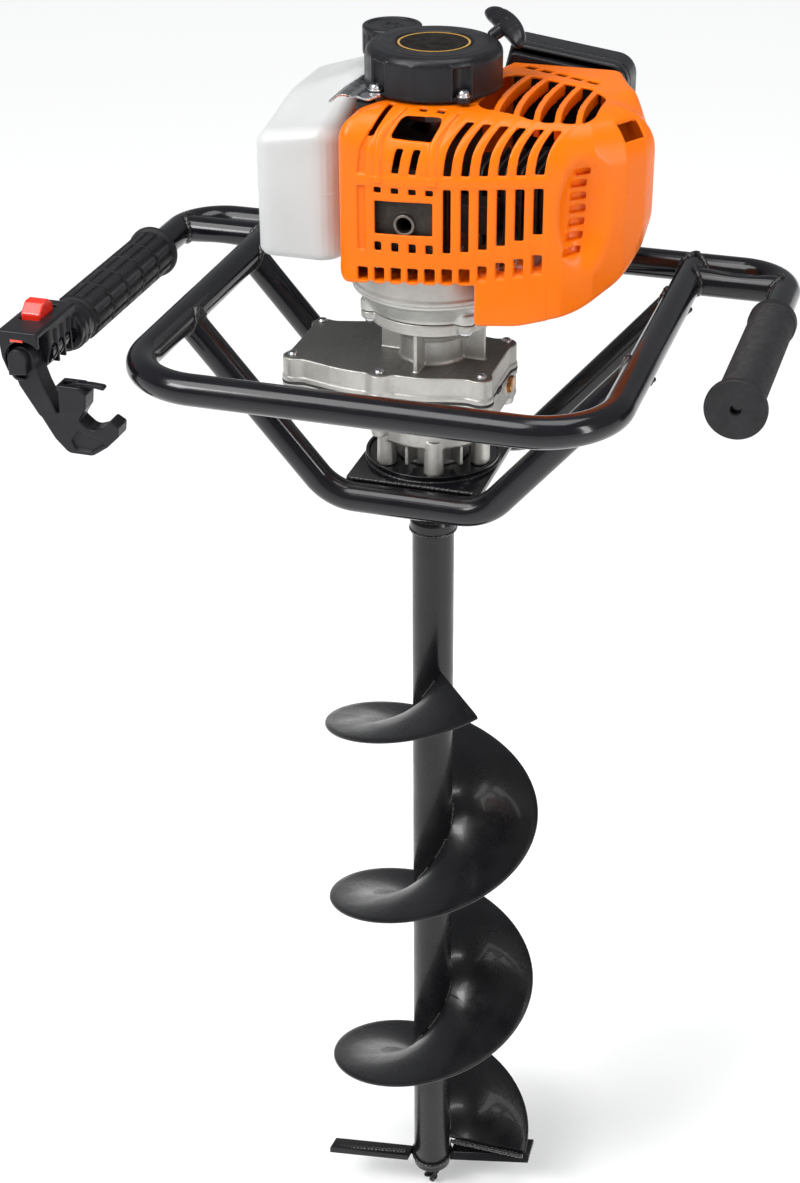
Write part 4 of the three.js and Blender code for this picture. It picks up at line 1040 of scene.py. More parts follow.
def make_gasket():
    space = Space((-121, -64, GASKET_Z - 2), (63, 64, GASKET_Z + 3), 0.6)
    seal = within(case_plan(space, 1.2), space.between(GASKET_Z - 0.25, GASKET_Z + 1.25))
    blob = fuse(space.disc(3.4, 60, -12, GASKET_Z - 1.6, GASKET_Z + 2.4),
                space.disc(2.8, 60, -6, GASKET_Z - 1.2, GASKET_Z + 1.8), 3)
    seal = fuse(seal, within(blob, space.x - 61.4), 1.5)
    moulded("gasket_edge", space, seal, "gasket_paper", "gearbox_gasket")


def screw_head(radius, height):
    """A pan-head screw that looks along +Z, with a cross recess."""
    head = lathe([(0, 0), (radius, 0), (radius, height * 0.55, height * 0.35), (radius * 0.75, height),
                  (0, height)], 36)
    wide, arm, floor = radius * 0.22, radius * 0.62, height * 0.35
    return cut(head, box(-arm, arm, -wide, wide, floor, height * 2),
               box(-wide, wide, -arm, arm, floor, height * 2))


def hex_head(radius, height):
    """A flanged hexagon screw that looks along +Z."""
    flange = lathe([(0, 0), (radius * 1.25, 0), (radius * 1.2, height * 0.25), (radius * 0.9, height * 0.4),
                    (0, height * 0.4)], 40)
    nut = lathe([(0, height * 0.3), (radius, height * 0.3), (radius, height - 0.5, 0.3),
                 (radius - 0.7, height), (0, height)], 6)
    return flange + nut


def make_screws():
    small, socket = screw_head(4.3, 2.8), screw_head(5.4, 4.6)
    heads = [small.turned(37 * i).moved(x, y, CASE_TOP + 0.3) for i, (x, y) in enumerate(CASE_BOLTS)]
    for x, y, angle in BELL_SCREWS:
        heads.append(socket.turned(180, "X").turned(angle).moved(x, y, 983.6))
        heads.append(lathe([(0, 0), (6.8, 0), (6.8, 1.1, 0.3), (0, 1.1)], 32).moved(x, y, 982.5))
    foot = hex_head(4.6, 3.6)
    for x, y, _ in FOOT_BOSSES:
        heads.append(foot.turned(180, "X").moved(x, y, PLATE_LOW.z - 0.1))
    piece("case_screws", together(heads), "zinc", "frame", sharp=35)


def make_oil_plug():
    head = lathe([(0, 0), (7.5, 0, 0.3), (7.5, 3.4, 0.5), (6.6, 4.1), (0, 4.1)], 6)
    collar = lathe([(0, -0.8), (8.2, -0.8, 0.3), (8.2, 0.4, 0.3), (0, 0.4)], 40)
    shape = (head + collar + rod(4, (0, 0, -12), (0, 0, 0), 24)).aimed((1, 0, 0))
    piece("oil_plug_hex", shape.moved(PLUG_X, PLUG_Y, PLUG_Z), "brass", "frame", ["oil_plug"], bevel=0.3)


def make_fan_housing():
    """A shallow drum on a cone that stands on the bell, hollow for the fan."""
    space = Space((-68, -68, 990), (68, 68, 1037), 0.8)
    body = fuse(rolled(space.post(54, 0, 0), space.between(990.3, 996), 1), space.cone(54, 992, 67, 1010), 2)
    body = fuse(body, rolled(space.post(67, 0, 0), space.between(1008, 1036), 1), 3)
    for x, y, _ in BELL_SCREWS:
        body = fuse(body, rolled(space.post(8.6, x, y), space.between(990.3, 999), 1), 3)
    body = fuse(body, within(space.post(67.4, 0, 0), space.between(1012.5, 1014.5)), 1.5)
    body = within(minus(body, space.cone(46, 980, 62.5, 1012)), space.between(990.3, 1036))
    body = minus(body, space.disc(63, 0, 0, 1011, 1050))
    moulded("fan_housing_casting", space, body, "engine_alloy", "fan_housing")


make_upper_case()
make_lower_case()
make_gasket()
make_screws()
make_oil_plug()
make_fan_housing()


# ---- throttle -----------------------------------------------------------------------------------
HOUSING_RIGHT = -264
HOUSING_BACK = -132
HINGE_X = -282
HINGE_Z = 985
SLOT_FRONT = low("throttle_trigger").y - 0.3
SLOT_BACK = high("throttle_trigger").y + 0.3
SWITCH_X = (low("kill_switch").x + high("kill_switch").x) / 2
SWITCH_HALF = 8.5


def make_throttle_housing():
    """A box at the end of the grip whose round front window shows the lever's hub."""
    x0, y0, z0 = low("throttle_housing")
    x1, y1, z1 = high("throttle_housing")
    right, face, back = HOUSING_RIGHT, y0 + 3, HOUSING_BACK
    space = Space((x0, y0, z0), (x1, y1, z1), 0.5)
    outline = [(x0 + 0.5, z1, 2), (right, z1, 2), (right, HINGE_Z + 4, 6), (right - 5, z0 + 6, 5),
               (HINGE_X - 3, z0 + 1, 6), (x0 + 7, z0 + 10, 8), (x0 + 3, HINGE_Z + 2, 10)]
    body = rolled(space.front(outline), space.deep(face, back), 1.2)
    around = np.hypot(space.x + HANDLE_X, space.z - FRAME_Z)
    neck = rolled(around - 18.6, space.deep(back - 4, y1), 1)
    body = fuse(body, neck, 4)
    for y in (-128, -120.5):
        body = fuse(body, rolled(around - 20.2, np.abs(space.y - y) - 1.8, 0.8), 1)
    for y in (-170, -158, -146):
        rib = np.maximum(np.abs(space.y - y) - 1.2, np.maximum(right - 3 - space.x, space.x - right - 1.6))
        body = fuse(body, np.maximum(rib, space.between(z0 + 8, z1 - 9)), 1.5)
    window = np.hypot(space.x - HINGE_X - 5.5, space.z - HINGE_Z - 1) - 16
    body = minus(body, np.maximum(window, space.y - SLOT_FRONT - 2), 1)
    lever_slot = np.maximum(space.deep(SLOT_FRONT, SLOT_BACK), space.between(z0 - 5, z1 - 5))
    body = minus(body, np.maximum(lever_slot, x0 + 4.6 - space.x), 0.8)
    half = SWITCH_HALF + 0.6
    pocket = space.brick(SWITCH_X - half, SWITCH_X + half, -178, -142, z1 - 3, z1 + 5)
    body = minus(body, pocket, 0.8)
    rim = space.brick(SWITCH_X - half - 2, SWITCH_X + half + 2, -180, -140, z1 - 1.6, z1 - 0.2)
    body = fuse(body, minus(rim, pocket), 0.6)
    body = minus(body, space.brick(HINGE_X - 6, HINGE_X + 6, face - 1, face + 0.8, z1 - 9, z1 - 6.6), 0.4)
    foot = space.front([(HINGE_X - 8, HINGE_Z - 12), (HINGE_X + 7.4, HINGE_Z - 10),
                        (HINGE_X + 7.4, HINGE_Z + 3), (HINGE_X - 8, HINGE_Z + 3)])
    tab = fuse(np.hypot(space.x - HINGE_X, space.z - HINGE_Z - 3) - 7.6, foot, 1)
    body = fuse(body, rolled(tab, space.deep(y0 + 0.6, SLOT_FRONT), 1), 1)
    bore = np.maximum(around - TUBE_R - 0.3, SLOT_BACK + 3 - space.y)
    body = within(minus(body, bore), space.x - x1)
    moulded("throttle_box", space, body, "black_plastic", "throttle_housing")
    pin = rod(3.4, (HINGE_X, SLOT_FRONT - 1, HINGE_Z), (HINGE_X, SLOT_BACK + 1, HINGE_Z), 32)
    piece("hinge_pin", pin, "black_plastic", "frame")
    mark = box(HINGE_X - 5.4, HINGE_X + 5.4, face + 0.3, face + 0.9, z1 - 8.7, z1 - 6.9)
    piece("switch_mark", mark, "red_plastic", "frame", bevel=0.15)


def make_kill_switch():
    """A wedge for the thumb, highest towards the operator, with a soft crest."""
    z0 = high("throttle_housing").z - 2.7
    (_, y0, _), (_, y1, z1) = low("kill_switch"), high("kill_switch")
    space = Space((SWITCH_X - SWITCH_HALF, y0, z0), (SWITCH_X + SWITCH_HALF, y1, z1), 0.4)
    side = space.side([(y0, z0), (y1, z0), (y1, z1 - 6, 3), (y1 - 6, z1 - 0.5, 4), (y0 + 9, z1, 6),
                       (y0, z0 + 6, 3)])
    wedge = rolled(side, np.abs(space.x - SWITCH_X) - SWITCH_HALF, 1.4)
    for i in range(3):
        wedge = minus(wedge, np.hypot(space.y - (y0 + 12 + 3.2 * i), space.z - z1 - 0.4) - 1.1, 0.5)
    moulded("kill_switch_wedge", space, wedge, "red_plastic", "kill_switch", "kill_switch")


def make_trigger():
    """A hook-shaped lever: a broad arm down from the hinge, a finger block and an upturned end."""
    y0, y1 = low("throttle_trigger").y, high("throttle_trigger").y
    space = Space(low("throttle_trigger"), high("throttle_trigger"), 0.45)
    across = space.deep(y0, y1)
    arm = space.front([(HINGE_X - 9, HINGE_Z), (HINGE_X - 7.5, 975, 6), (HINGE_X - 3.5, 962, 8),
                       (-270.5, 938, 2), (-268.5, 936.6, 1), (-258, 919, 10), (-247, 907.6, 8),
                       (-226, 907.6, 8), (-213, 916.5, 3), (-202.5, 927, 2.5), (-201.4, 936, 2.2),
                       (-209, 940.6, 2), (-216, 933, 5), (-226, 929.5, 8), (-235, 937, 5), (-239, 944),
                       (-254.5, 941, 3), (-264.5, 964, 6), (-269, 978, 5), (HINGE_X + 9, HINGE_Z)])
    lever = rolled(arm, across, 1)
    lever = fuse(lever, rolled(np.hypot(space.x - HINGE_X, space.z - HINGE_Z) - 10.8, across, 1), 3)
    block = space.front([(-252.5, 938), (-236, 938), (-229.5, 948, 3), (-228, 961, 3), (-234, 966, 1.5),
                         (-252, 966, 1.5)])
    lever = fuse(lever, rolled(block, across, 1.2), 1.5)
    lip = space.front([(-253.6, 962.6), (-234.5, 962.6), (-234.5, 965.8), (-253.6, 965.8)])
    lever = fuse(lever, rolled(lip, across, 0.5), 0.4)
    panel = space.front([(-244, 919.5, 2), (-237, 929, 2), (-229, 924.5, 3), (-217, 922.5, 1.5),
                         (-214.5, 919.5, 1), (-227, 911.5, 5), (-241, 911.5, 4)])
    lever = minus(lever, np.maximum(panel, space.y - y0 - 2.4), 0.8)
    gap = space.brick(-251, -236, y0 + 5, y0 + 12.4, 955, 970)
    bore = np.hypot(space.x - HINGE_X, space.z - HINGE_Z) - 3.8
    lever = within(minus(minus(lever, gap, 0.5), bore), across)
    moulded("trigger_lever", space, lever, "black_plastic", "throttle_trigger", "throttle_trigger")


def make_latch():
    (_, y0, _), (_, y1, top) = low("trigger_latch"), high("trigger_latch")
    outline = [(-249, 958.5), (-243, 958.5, 2), (-234, 962.5, 5), (-224, 964.8, 6), (-215, 963.6, 1),
               (-214, 966, 1.2), (-216, 967.4, 1), (-226, top, 8), (-238, top - 0.4, 4), (-249, 963)]
    tongue = prism(outline, y0, y1, "Y")
    piece("latch_tongue", tongue, "black_plastic", "trigger_latch", ["trigger_latch"], bevel=0.6)


make_throttle_housing()
make_kill_switch()
make_trigger()
make_latch()


# ---- recoil starter -----------------------------------------------------------------------------
STARTER_R = 54.4
LUGS = places_round(57, (-127, -50, 53, 150))
LABEL_R = 31
ROPE_AT = Vector((30, 36, 1200))
ROPE_ALONG = Vector((17, 10, 12)).normalized()
BAR_CENTRE = Vector((47, 46, 1212))
BAR_ALONG = Vector((38, -40, -14)).normalized()


def make_starter_cover():
    """A shallow round cup with a pocket in its wall over each screw, and a recess for the label."""
    z0, z1 = STARTER_Z0, STARTER_Z1
    space = Space((low("starter_cover").x, low("starter_cover").y, z0), high("starter_cover"), 0.6)
    around = np.hypot(space.x, space.y)
    drum = rolled(around - STARTER_R, space.z - z1 + 0.4, 7.5)
    drum = fuse(drum, rolled(around - 44, space.z - z1, 2.5), 2)
    for x, y, angle in LUGS:
        pocket = np.maximum(space.post(8.6, 1.02 * x, 1.02 * y), space.z - z1 + 8)
        drum = minus(drum, pocket, 1.6)
        for turn in (-9.6, 9.6):
            a = math.radians(angle + turn)
            ridge = space.post(1.7, (STARTER_R - 1.2) * math.cos(a), (STARTER_R - 1.2) * math.sin(a))
            drum = fuse(drum, np.maximum(ridge, space.z - z1 + 5.5), 1.2)
    for angle in (-92, 5, 100, 200):
        a = math.radians(angle)
        ridge = space.post(2.2, (STARTER_R - 1.9) * math.cos(a), (STARTER_R - 1.9) * math.sin(a))
        drum = fuse(drum, np.maximum(ridge, space.z - z1 + 6.5), 2)
    drum = minus(drum, np.maximum(around - LABEL_R - 0.8, z1 - 0.9 - space.z), 0.6)
    foot = rolled(around - STARTER_R - 0.3, space.between(z0, z0 + 3), 0.6)
    drum = fuse(drum, foot, 0.8)
    for x, y, _ in LUGS:
        drum = fuse(drum, rolled(space.post(6.1, x, y), space.between(z0, z0 + 5), 0.8), 1.5)
    hollow = np.maximum(around - 51, space.z - z1 + 4)
    for x, y, _ in LUGS:
        hollow = minus(hollow, space.post(11.2, 1.02 * x, 1.02 * y), 1)
    drum = minus(drum, hollow)
    eyelet = np.hypot(*axis_offsets(space, ROPE_AT, ROPE_ALONG)) - 3.2
    drum = within(minus(drum, eyelet, 0.8), space.between(z0, z1))
    moulded("starter_cup", space, drum, "black_plastic", "starter_cover")
    disc = lathe([(0, 0), (LABEL_R, 0), (LABEL_R, 0.5, 0.2), (0, 0.5)], 96).moved(0, 0, z1 - 1.2)
    piece("starter_label", disc, "black_plastic", "frame", material="label_film")
    ring = lathe([(27.2, 0), (28.9, 0), (28.9, 0.25), (27.2, 0.25)], 120).moved(0, 0, z1 - 0.75)
    piece("starter_label_ring", ring, "black_plastic", "frame", material="label_ring")
    head = screw_head(4.4, 3.4)
    washer = lathe([(0, 0), (5.6, 0), (5.6, 1, 0.3), (0, 1)], 36)
    screws = [(head.turned(25 * i).moved(0, 0, 1) + washer).moved(x, y, z0 + 5)
              for i, (x, y, _) in enumerate(LUGS)]
    piece("starter_screws", together(screws), "zinc", "frame", sharp=35)


def axis_offsets(space, point, along):
    """How far each place is off a line, in the two directions across it."""
    side = along.orthogonal().normalized()
    up = along.cross(side)
    return [(space.x - point.x) * d.x + (space.y - point.y) * d.y + (space.z - point.z) * d.z
            for d in (side, up)]


def make_starter_handle():
    """A crescent grip across the rope, deepest over its neck, with shallow finger grooves."""
    half, rings = 29.5, []
    out = (ROPE_ALONG - BAR_ALONG * ROPE_ALONG.dot(BAR_ALONG)).normalized()
    across = BAR_ALONG.cross(out)
    for i in range(41):
        share = math.sin(math.pi * (i / 40 - 0.5))
        round_end = math.sqrt(max(1 - abs(share) ** 7, 0.02))
        groove = 1 - 0.05 * math.exp(-((abs(share) - 0.52) / 0.05) ** 2)
        depth = (8.6 - 3.2 * share * share) * round_end * groove
        width = (7.0 - 1.6 * share * share) * round_end * groove
        middle = BAR_CENTRE + BAR_ALONG * half * share + out * (1.2 - 4.5 * share * share)
        ring = []
        for j in range(40):
            angle = 2 * math.pi * j / 40
            c, s = math.cos(angle), math.sin(angle)
            u = math.copysign(abs(c) ** 0.8, c) * depth
            v = math.copysign(abs(s) ** 0.8, s) * width
            ring.append(middle + out * u + across * v)
        rings.append(np.array(ring))
    neck = lathe([(0, 0), (4.6, 0, 1), (5.4, 6, 2), (5.4, 12), (7.5, 19), (0, 19)], 48)
    for turn in range(0, 360, 90):
        neck += box(4, 6.1, -0.9, 0.9, 3, 16).turned(turn + 20)
    neck = neck.aimed(ROPE_ALONG).moved(*(ROPE_AT + ROPE_ALONG * 7))
    grip = loft(rings) + neck
    piece("starter_grip", grip, "black_plastic", "starter_handle", ["starter_handle"], sharp=50)
    start = ROPE_AT - ROPE_ALONG * 24
    strands = []
    for k in range(3):
        points = []
        for i in range(60):
            turn = 2 * math.pi * (i / 22 + k / 3)
            side = ROPE_ALONG.orthogonal().normalized()
            offset = side * math.cos(turn) + ROPE_ALONG.cross(side) * math.sin(turn)
            points.append(start + ROPE_ALONG * 34 * i / 59 + offset * 0.85)
        strands.append(pipe(points, 0.95, 10))
    piece("starter_rope", together(strands), "black_plastic", "starter_handle", sharp=70,
          material="rope_fibre")


make_starter_cover()
make_starter_handle()


# ---- fuel tank ----------------------------------------------------------------------------------
TANK_LOW = low("fuel_tank")
TANK_HIGH = high("fuel_tank")
CAP_LOW = low("fuel_cap")
CAP_HIGH = high("fuel_cap")
CAP_MIDDLE = ((CAP_LOW.x + CAP_HIGH.x) / 2, (CAP_LOW.y + CAP_HIGH.y) / 2)


def make_tank():
    """Blow-moulded: soft corners all round, a roof that climbs towards the cap and a faint seam."""
    x0, y0 = TANK_LOW.x, TANK_LOW.y
    z0 = TANK_LOW.z - 3.5
    y1, roof_top = TANK_HIGH.y, 1170
    space = Space((x0, y0, z0), (TANK_HIGH.x, y1, TANK_HIGH.z), 0.9)
    plan = space.plan([(x0, y0, 12), (-62, y0, 20), (-62, 38, 6), (-30, 42, 12), (-30, y1, 14), (x0, y1, 14)])
    climb = smooth_step(space.y, -58, 34)
    front_drop = 24 + 0.15 * np.minimum(space.x + 65, 0)
    roof = roof_top - 0.3 * np.maximum(-78 - space.x, 0) - front_drop * (1 - climb)
    walls = rolled(plan, space.z - roof, 11)
    body = rolled(walls, z0 - space.z, 9)
    body = minus(body, space.disc(67.6, 0, 0, z0 - 5, TANK_LOW.z + 1), 1)
    seam = np.abs(space.z - 1094) - 0.6
    body = fuse(body, np.maximum(body - 0.5, seam), 0.6)
    neck = fuse(space.disc(19, *CAP_MIDDLE, 1160, TANK_HIGH.z),
                space.disc(22, *CAP_MIDDLE, 1166, 1173), 1)
    body = fuse(body, neck, 3)
    body = within(body, space.plan([(x0, y0), (-30, y0), (-30, y1), (x0, y1)]))
    body = minus(body, space.disc(16, *CAP_MIDDLE, 1172, 1200))
    moulded("tank_moulding", space, body, "tank_plastic", "fuel_tank", passes=2)


def make_fuel_cap():
    """A soft-edged cap with broad flutes and a raised mark of three chevrons."""
    z0, z1 = CAP_LOW.z, CAP_HIGH.z
    space = Space(CAP_LOW, CAP_HIGH, 0.5)
    x, y = CAP_MIDDLE
    angle = np.arctan2(space.y - y, space.x - x)
    radius = 24.7 - 0.9 * smooth_step(np.cos(18 * angle), 0.1, 0.9) * smooth_step(z1 - space.z, 4, 8)
    cap = rolled(np.hypot(space.x - x, space.y - y) - radius, space.between(z0, z1 - 0.6), 2.4)
    cap = minus(cap, space.disc(19.5, x, y, z1 - 1.6, z1 + 2), 0.8)
    for turn in (0, 120, 240):
        c, s = math.cos(math.radians(turn)), math.sin(math.radians(turn))
        u = (space.x - x) * c + (space.y - y) * s
        v = (space.y - y) * c - (space.x - x) * s
        chevron = np.maximum(np.abs(u - 8 + np.abs(v)) - 1.4, np.abs(v) - 6)
        cap = fuse(cap, np.maximum(chevron, space.between(z1 - 2.4, z1 - 0.8)), 0.5)
    cap = within(minus(cap, space.disc(20.5, x, y, z0 - 2, z1 - 8)), space.between(z0, z1))
    moulded("fuel_cap_moulding", space, cap, "black_plastic", "fuel_cap", "fuel_cap")


def make_tank_bracket():
    """A pressed strap that holds the tank: curled down at its left end, ringed round the screw."""
    sx, sy = LUGS[0][:2]
    rings = []
    for x in np.linspace(-69, -31, 40):
        front = np.interp(x, (-69, -66, -60, -54, -46, -38, -31), (-56, -58, -55, -49, -55, -58, -52))
        back = np.interp(x, (-69, -64, -56, -48, -38, -31), (1, 5, 8, 2, -18, -42))
        ys = np.linspace(front, back, 24)
        ring = np.hypot(x - sx, ys - sy)
        sheet = 1175.4 - 5.5 * smooth_step(-x, 60, 69) - 2.2 * np.exp(-((x + 53) / 4) ** 2)
        sheet = sheet - 1.6 * np.exp(-((ring - 11) / 2.4) ** 2) - 1.2 * smooth_step(ys, -20, 6)
        under = np.stack([np.full(24, x), ys, sheet - 0.9], 1)
        over = np.stack([np.full(24, x), ys, sheet + 0.9], 1)
        rings.append(np.vstack([under, over[::-1]]))
    washer = lathe([(0, 0), (6.5, 0), (6.5, 3, 0.5), (0, 3)], 40).moved(sx, sy, STARTER_Z0 + 0.5)
    piece("tank_strap", loft(rings) + washer, "zinc", "frame", ["tank_bracket"], bevel=0.3,
          material="bright_steel")
    pad = lathe([(0, 0), (8, 0, 1), (8, 7, 1), (0, 7)], 40).moved(sx - 6, sy - 4, 1164)
    piece("strap_pad", pad, "grip_rubber", "frame")


make_tank()
make_fuel_cap()
make_tank_bracket()


# ---- air filter, muffler and engine -------------------------------------------------------------
CYLINDER_Z = 1087
FINS, FIN_PITCH = 9, 6.4
FILTER_X = (30.5, 135.5)


def make_air_filter():
    """A slab-like lid over a base with a stepped lip; its top slopes down to the right."""
    front, back = low("air_filter_cover").y, high("air_filter_cover").y
    x0, x1 = FILTER_X
    space = Space((x0, front, low("air_filter_cover").z), (x1, back, 1186), 0.8)
    lid = space.front([(x0, 1079, 10), (x1, 1079, 12), (x1, 1171, 17), (x0 + 6, 1184.5, 5), (x0, 1160, 8)])
    cover = rolled(lid, space.deep(front, back), 4)
    rim = rolled(lid + 3.5, np.abs(space.y - front - 9) - 1.2, 0.5)
    cover = minus(cover, minus(np.abs(space.y - front - 12) - 0.7, lid + 1.2), 0.5)
    cover = fuse(cover, rim)
    cover = minus(cover, within(lid + 3.5, space.y - back + 4.5))
    moulded("air_filter_lid", space, cover, "black_plastic", "air_filter_cover")
    low_y, base_z = low("air_filter_base").y, low("air_filter_base").z
    space = Space((x0 + 2, low_y, base_z), (x1 - 3, front - 0.2, 1182), 0.8)
    plate = space.front([(x0 + 3, base_z, 6), (x1 - 4, base_z, 8), (x1 - 4, 1160, 12),
                         (x1 - 18, 1167.5, 3), (x0 + 9, 1178, 3), (x0 + 3, 1164, 5)])
    base = rolled(plate, np.maximum(low_y - space.y, space.y - front + 0.3), 1.6)
    ridge = rolled(np.abs(plate + 5) - 1.1, np.maximum(low_y - space.y, space.y - low_y - 2), 0.5)
    base = fuse(base, ridge, 0.5)
    base = minus(base, within(plate + 9, space.y - low_y - 2), 1)
    rib = space.front([(76, 1120), (78.4, 1120), (78.4, 1176), (76, 1176)])
    base = fuse(base, np.maximum(np.maximum(rib, plate + 1), space.y - low_y - 3), 0.6)
    base = within(base, np.maximum(low_y - space.y, space.y - front + 0.2))
    moulded("air_filter_plate", space, base, "black_plastic", "air_filter_base")


def make_muffler():
    """A pressed can with a seam all round, an outlet ring and an arm to the exhaust port."""
    x0, x1, y0, y1, z0, z1 = -41, 33, -85.6, -52.5, 1053, 1125
    space = Space((x0, y0 - 4, z0), (66, y1 + 18.5, z1), 0.7)
    face = space.front([(x0, z0, 9), (x1, z0, 9), (x1, z1, 9), (x0, z1, 9)])
    can = rolled(face + 2.2, space.deep(y0, y1), 4)
    can = fuse(can, rolled(face, np.abs(space.y + 68) - 1.4, 0.8), 1)
    around = np.hypot(space.x - 2, space.z - CYLINDER_Z)
    can = fuse(can, rolled(around - 8.9, np.maximum(y0 - 3.8 - space.y, space.y - y0 - 4), 0.6), 1.2)
    arm = np.maximum(space.wide(30, 65.5), np.maximum(-61.5 - space.y, space.y + 34.5))
    can = fuse(can, rolled(arm, np.abs(space.z - CYLINDER_Z) - 11.5, 2), 2)
    can = minus(can, np.maximum(around - 6.3, space.y - y0 - 20), 0.4)
    for x in (x0 + 12, x1 - 12):
        head = np.maximum(y0 - 2 - space.y, space.y - y0 - 2)
        can = fuse(can, rolled(np.hypot(space.x - x, space.z - z0 - 10) - 4, head, 0.8), 0.8)
    moulded("muffler_can", space, can, "dark_steel", "muffler")
    pipe_rim = lathe([(6.3, 0), (8.6, 0, 0.6), (8.6, 2.4, 0.8), (6.3, 2.4, 0.8)], 64).aimed((0, -1, 0))
    pipe_rim = pipe_rim.moved(2, y0 - 1.6, CYLINDER_Z)
    piece("muffler_outlet", pipe_rim, "dark_steel", "frame", material="worn_steel")


def fin_plate(x0, x1, half, corner=7):
    return prism([(-half, CYLINDER_Z - half, corner), (half, CYLINDER_Z - half, corner),
                  (half, CYLINDER_Z + half, corner), (-half, CYLINDER_Z + half, corner)], x0, x1, "X")


def make_cylinder():
    x0 = low("cylinder").x
    shape = rod(26.5, (x0, 0, CYLINDER_Z), (105.5, 0, CYLINDER_Z), 96, 1.5) + fin_plate(x0, x0 + 5, 28)
    for i in range(FINS):
        shape += fin_plate(48 + FIN_PITCH * i, 49.8 + FIN_PITCH * i, 33, 9)
    # The finned cylinder takes the darker alloy as painted shade, for it sits inside the shroud.
    piece("cylinder_finned", shape, "engine_alloy", "frame", ["cylinder"], bevel=0.4, material="shaded_alloy")
    plug = lathe([(0, 94), (6, 94), (6, 107), (0, 107)], 32)
    plug += lathe([(0, 106), (10.5, 106.5), (10.5, 114.5, 1), (0, 115)], 6)
    plug += lathe([(0, 114), (5.6, 114), (5, 118, 1), (5.6, 122, 1), (5, 126, 1), (5.6, 131), (0, 131)], 40)
    plug = plug.turned(90, "Y").moved(0, 0, CYLINDER_Z)
    boot = lathe([(0, 129), (9.5, 129, 2), (10, 136), (9, 138, 1), (10, 140, 1), (10, 152, 3), (0, 156)], 48)
    boot = boot.turned(90, "Y").moved(0, 0, CYLINDER_Z)
    piece("spark_plug_body", plug, "black_plastic", "frame", ["spark_plug"], material="worn_steel", sharp=35)
    piece("spark_plug_boot", boot, "black_plastic", "frame", material="grip_rubber")


def make_crankcase():
    radius = 39.6
    # The upper half takes the darker alloy as painted shade, for it sits inside the shroud.
    for name, flange, material in (("lower", 10, "engine_alloy"), ("upper", 0, "shaded_alloy")):
        z0, z1 = low(f"crankcase_{name}").z, high(f"crankcase_{name}").z
        space = Space((-66, -66, z0), (66, 66, z1), 1.0)
        body = rolled(space.post(radius, 0, 0), space.between(z0, z1), 3)
        if flange:
            body = fuse(body, rolled(space.post(65.4, 0, 0), space.between(z0, z0 + 3.2), 0.8), 3)
        for i in range(8):
            web = space.brick(30, radius + flange, -1.6, 1.6, z0, z0 + 18, 45 * i)
            body = fuse(body, web, 2)
        body = minus(body, space.brick(36, 60, -60, 60, z0 + 3.7, 1200))
        body = minus(body, space.disc(30, 0, 0, 1066, 1108))
        port = np.maximum(np.hypot(space.y, space.z - CYLINDER_Z) - 22.6, 10 - space.x)
        body = minus(minus(body, port), space.post(18, 0, 0))
        body = within(body, space.between(z0, z1))
        moulded(f"crankcase_{name}_casting", space, body, "engine_alloy", f"crankcase_{name}",
                material=material)


def make_carburetor():
    y0, y1 = low("carburetor").y, high("carburetor").y
    space = Space((66, y0, CYLINDER_Z - 16), (96, y1, CYLINDER_Z + 18), 0.7)
    block = np.maximum(space.wide(66.5, 95.5), np.maximum(52 - space.y, space.y - y1 + 0.2))
    body = rolled(block, space.between(CYLINDER_Z - 14, CYLINDER_Z + 16), 3)
    throat = np.hypot(space.x - 80, space.z - CYLINDER_Z)
    body = fuse(body, rolled(throat - 12.6, space.deep(y0 + 0.3, 54), 1), 2)
    body = fuse(body, rolled(np.hypot(space.x - 80, space.y - 70) - 13, space.z - CYLINDER_Z - 17.6, 1), 1)
    body = within(minus(body, throat - 8, 0.8), space.between(CYLINDER_Z - 15.8, CYLINDER_Z + 17.8))
    # The carburettor takes the darker alloy as painted shade, for it sits inside the shroud.
    moulded("carburetor_body", space, body, "engine_alloy", "carburetor", material="shaded_alloy")
    hub, top = CYLINDER_Z + 8, high("choke_lever").z
    arm = prism([(66.2, hub, 2), (73.8, hub, 2), (73.8, top, 3), (66.2, top, 3)], 97.2, 99.8, "X")
    lever = rod(3, (96.6, 70, hub), (100, 70, hub), 32, 0.4) + arm
    piece("choke_lever_moulded", lever, "black_plastic", "choke_lever", ["choke_lever"], bevel=0.4)


make_air_filter()
make_muffler()
make_cylinder()
make_crankcase()
make_carburetor()


# ---- shroud -------------------------------------------------------------------------------------
SHROUD_LOW = low("engine_shroud")
SHROUD_HIGH = high("engine_shroud")
FRONT = -93
FRONT_FLAT_END = -20
FRONT_BOW = 840
SHROUD_WALL = 3
RIB_DEPTH = 11
SHOULDER_R = 38
STEP_X = 58
EDGE_LEFT_Z, EDGE_STEP_Z = 1035.8, 1041.6
SLOTS = 6
SLOT_X0, SLOT_PITCH, SLOT_W = 36.5, 13.75, 5.9
BAND_Z, BAND_HALF = 1124, 4
ARCHES = 7
ARCH_X0, ARCH_PITCH, ARCH_W = -31.1, 13.55, 8.2
LOUVRES = 7
LOUVRE_Z0, LOUVRE_PITCH = 1068.5, 10.6


def front_y(x):
    """The front wall stands back from its left end in a slow curve."""
    return FRONT + max(0, x - FRONT_FLAT_END) ** 2 / FRONT_BOW


def shroud_plan():
    """The outline seen from above."""
    left, right = SHROUD_LOW.x, SHROUD_HIGH.x
    points = [(left, 28), (left, FRONT, 10)]
    points += [(x, front_y(x)) for x in np.linspace(FRONT_FLAT_END, 124, 13)]
    points += [(146, -56), (166, -38), (177, -18), (right, 0, 8), (148, 50, 10), (134, 84, 8), (128, 88),
               (42, 88), (34, 60), (-10, 28)]
    return points


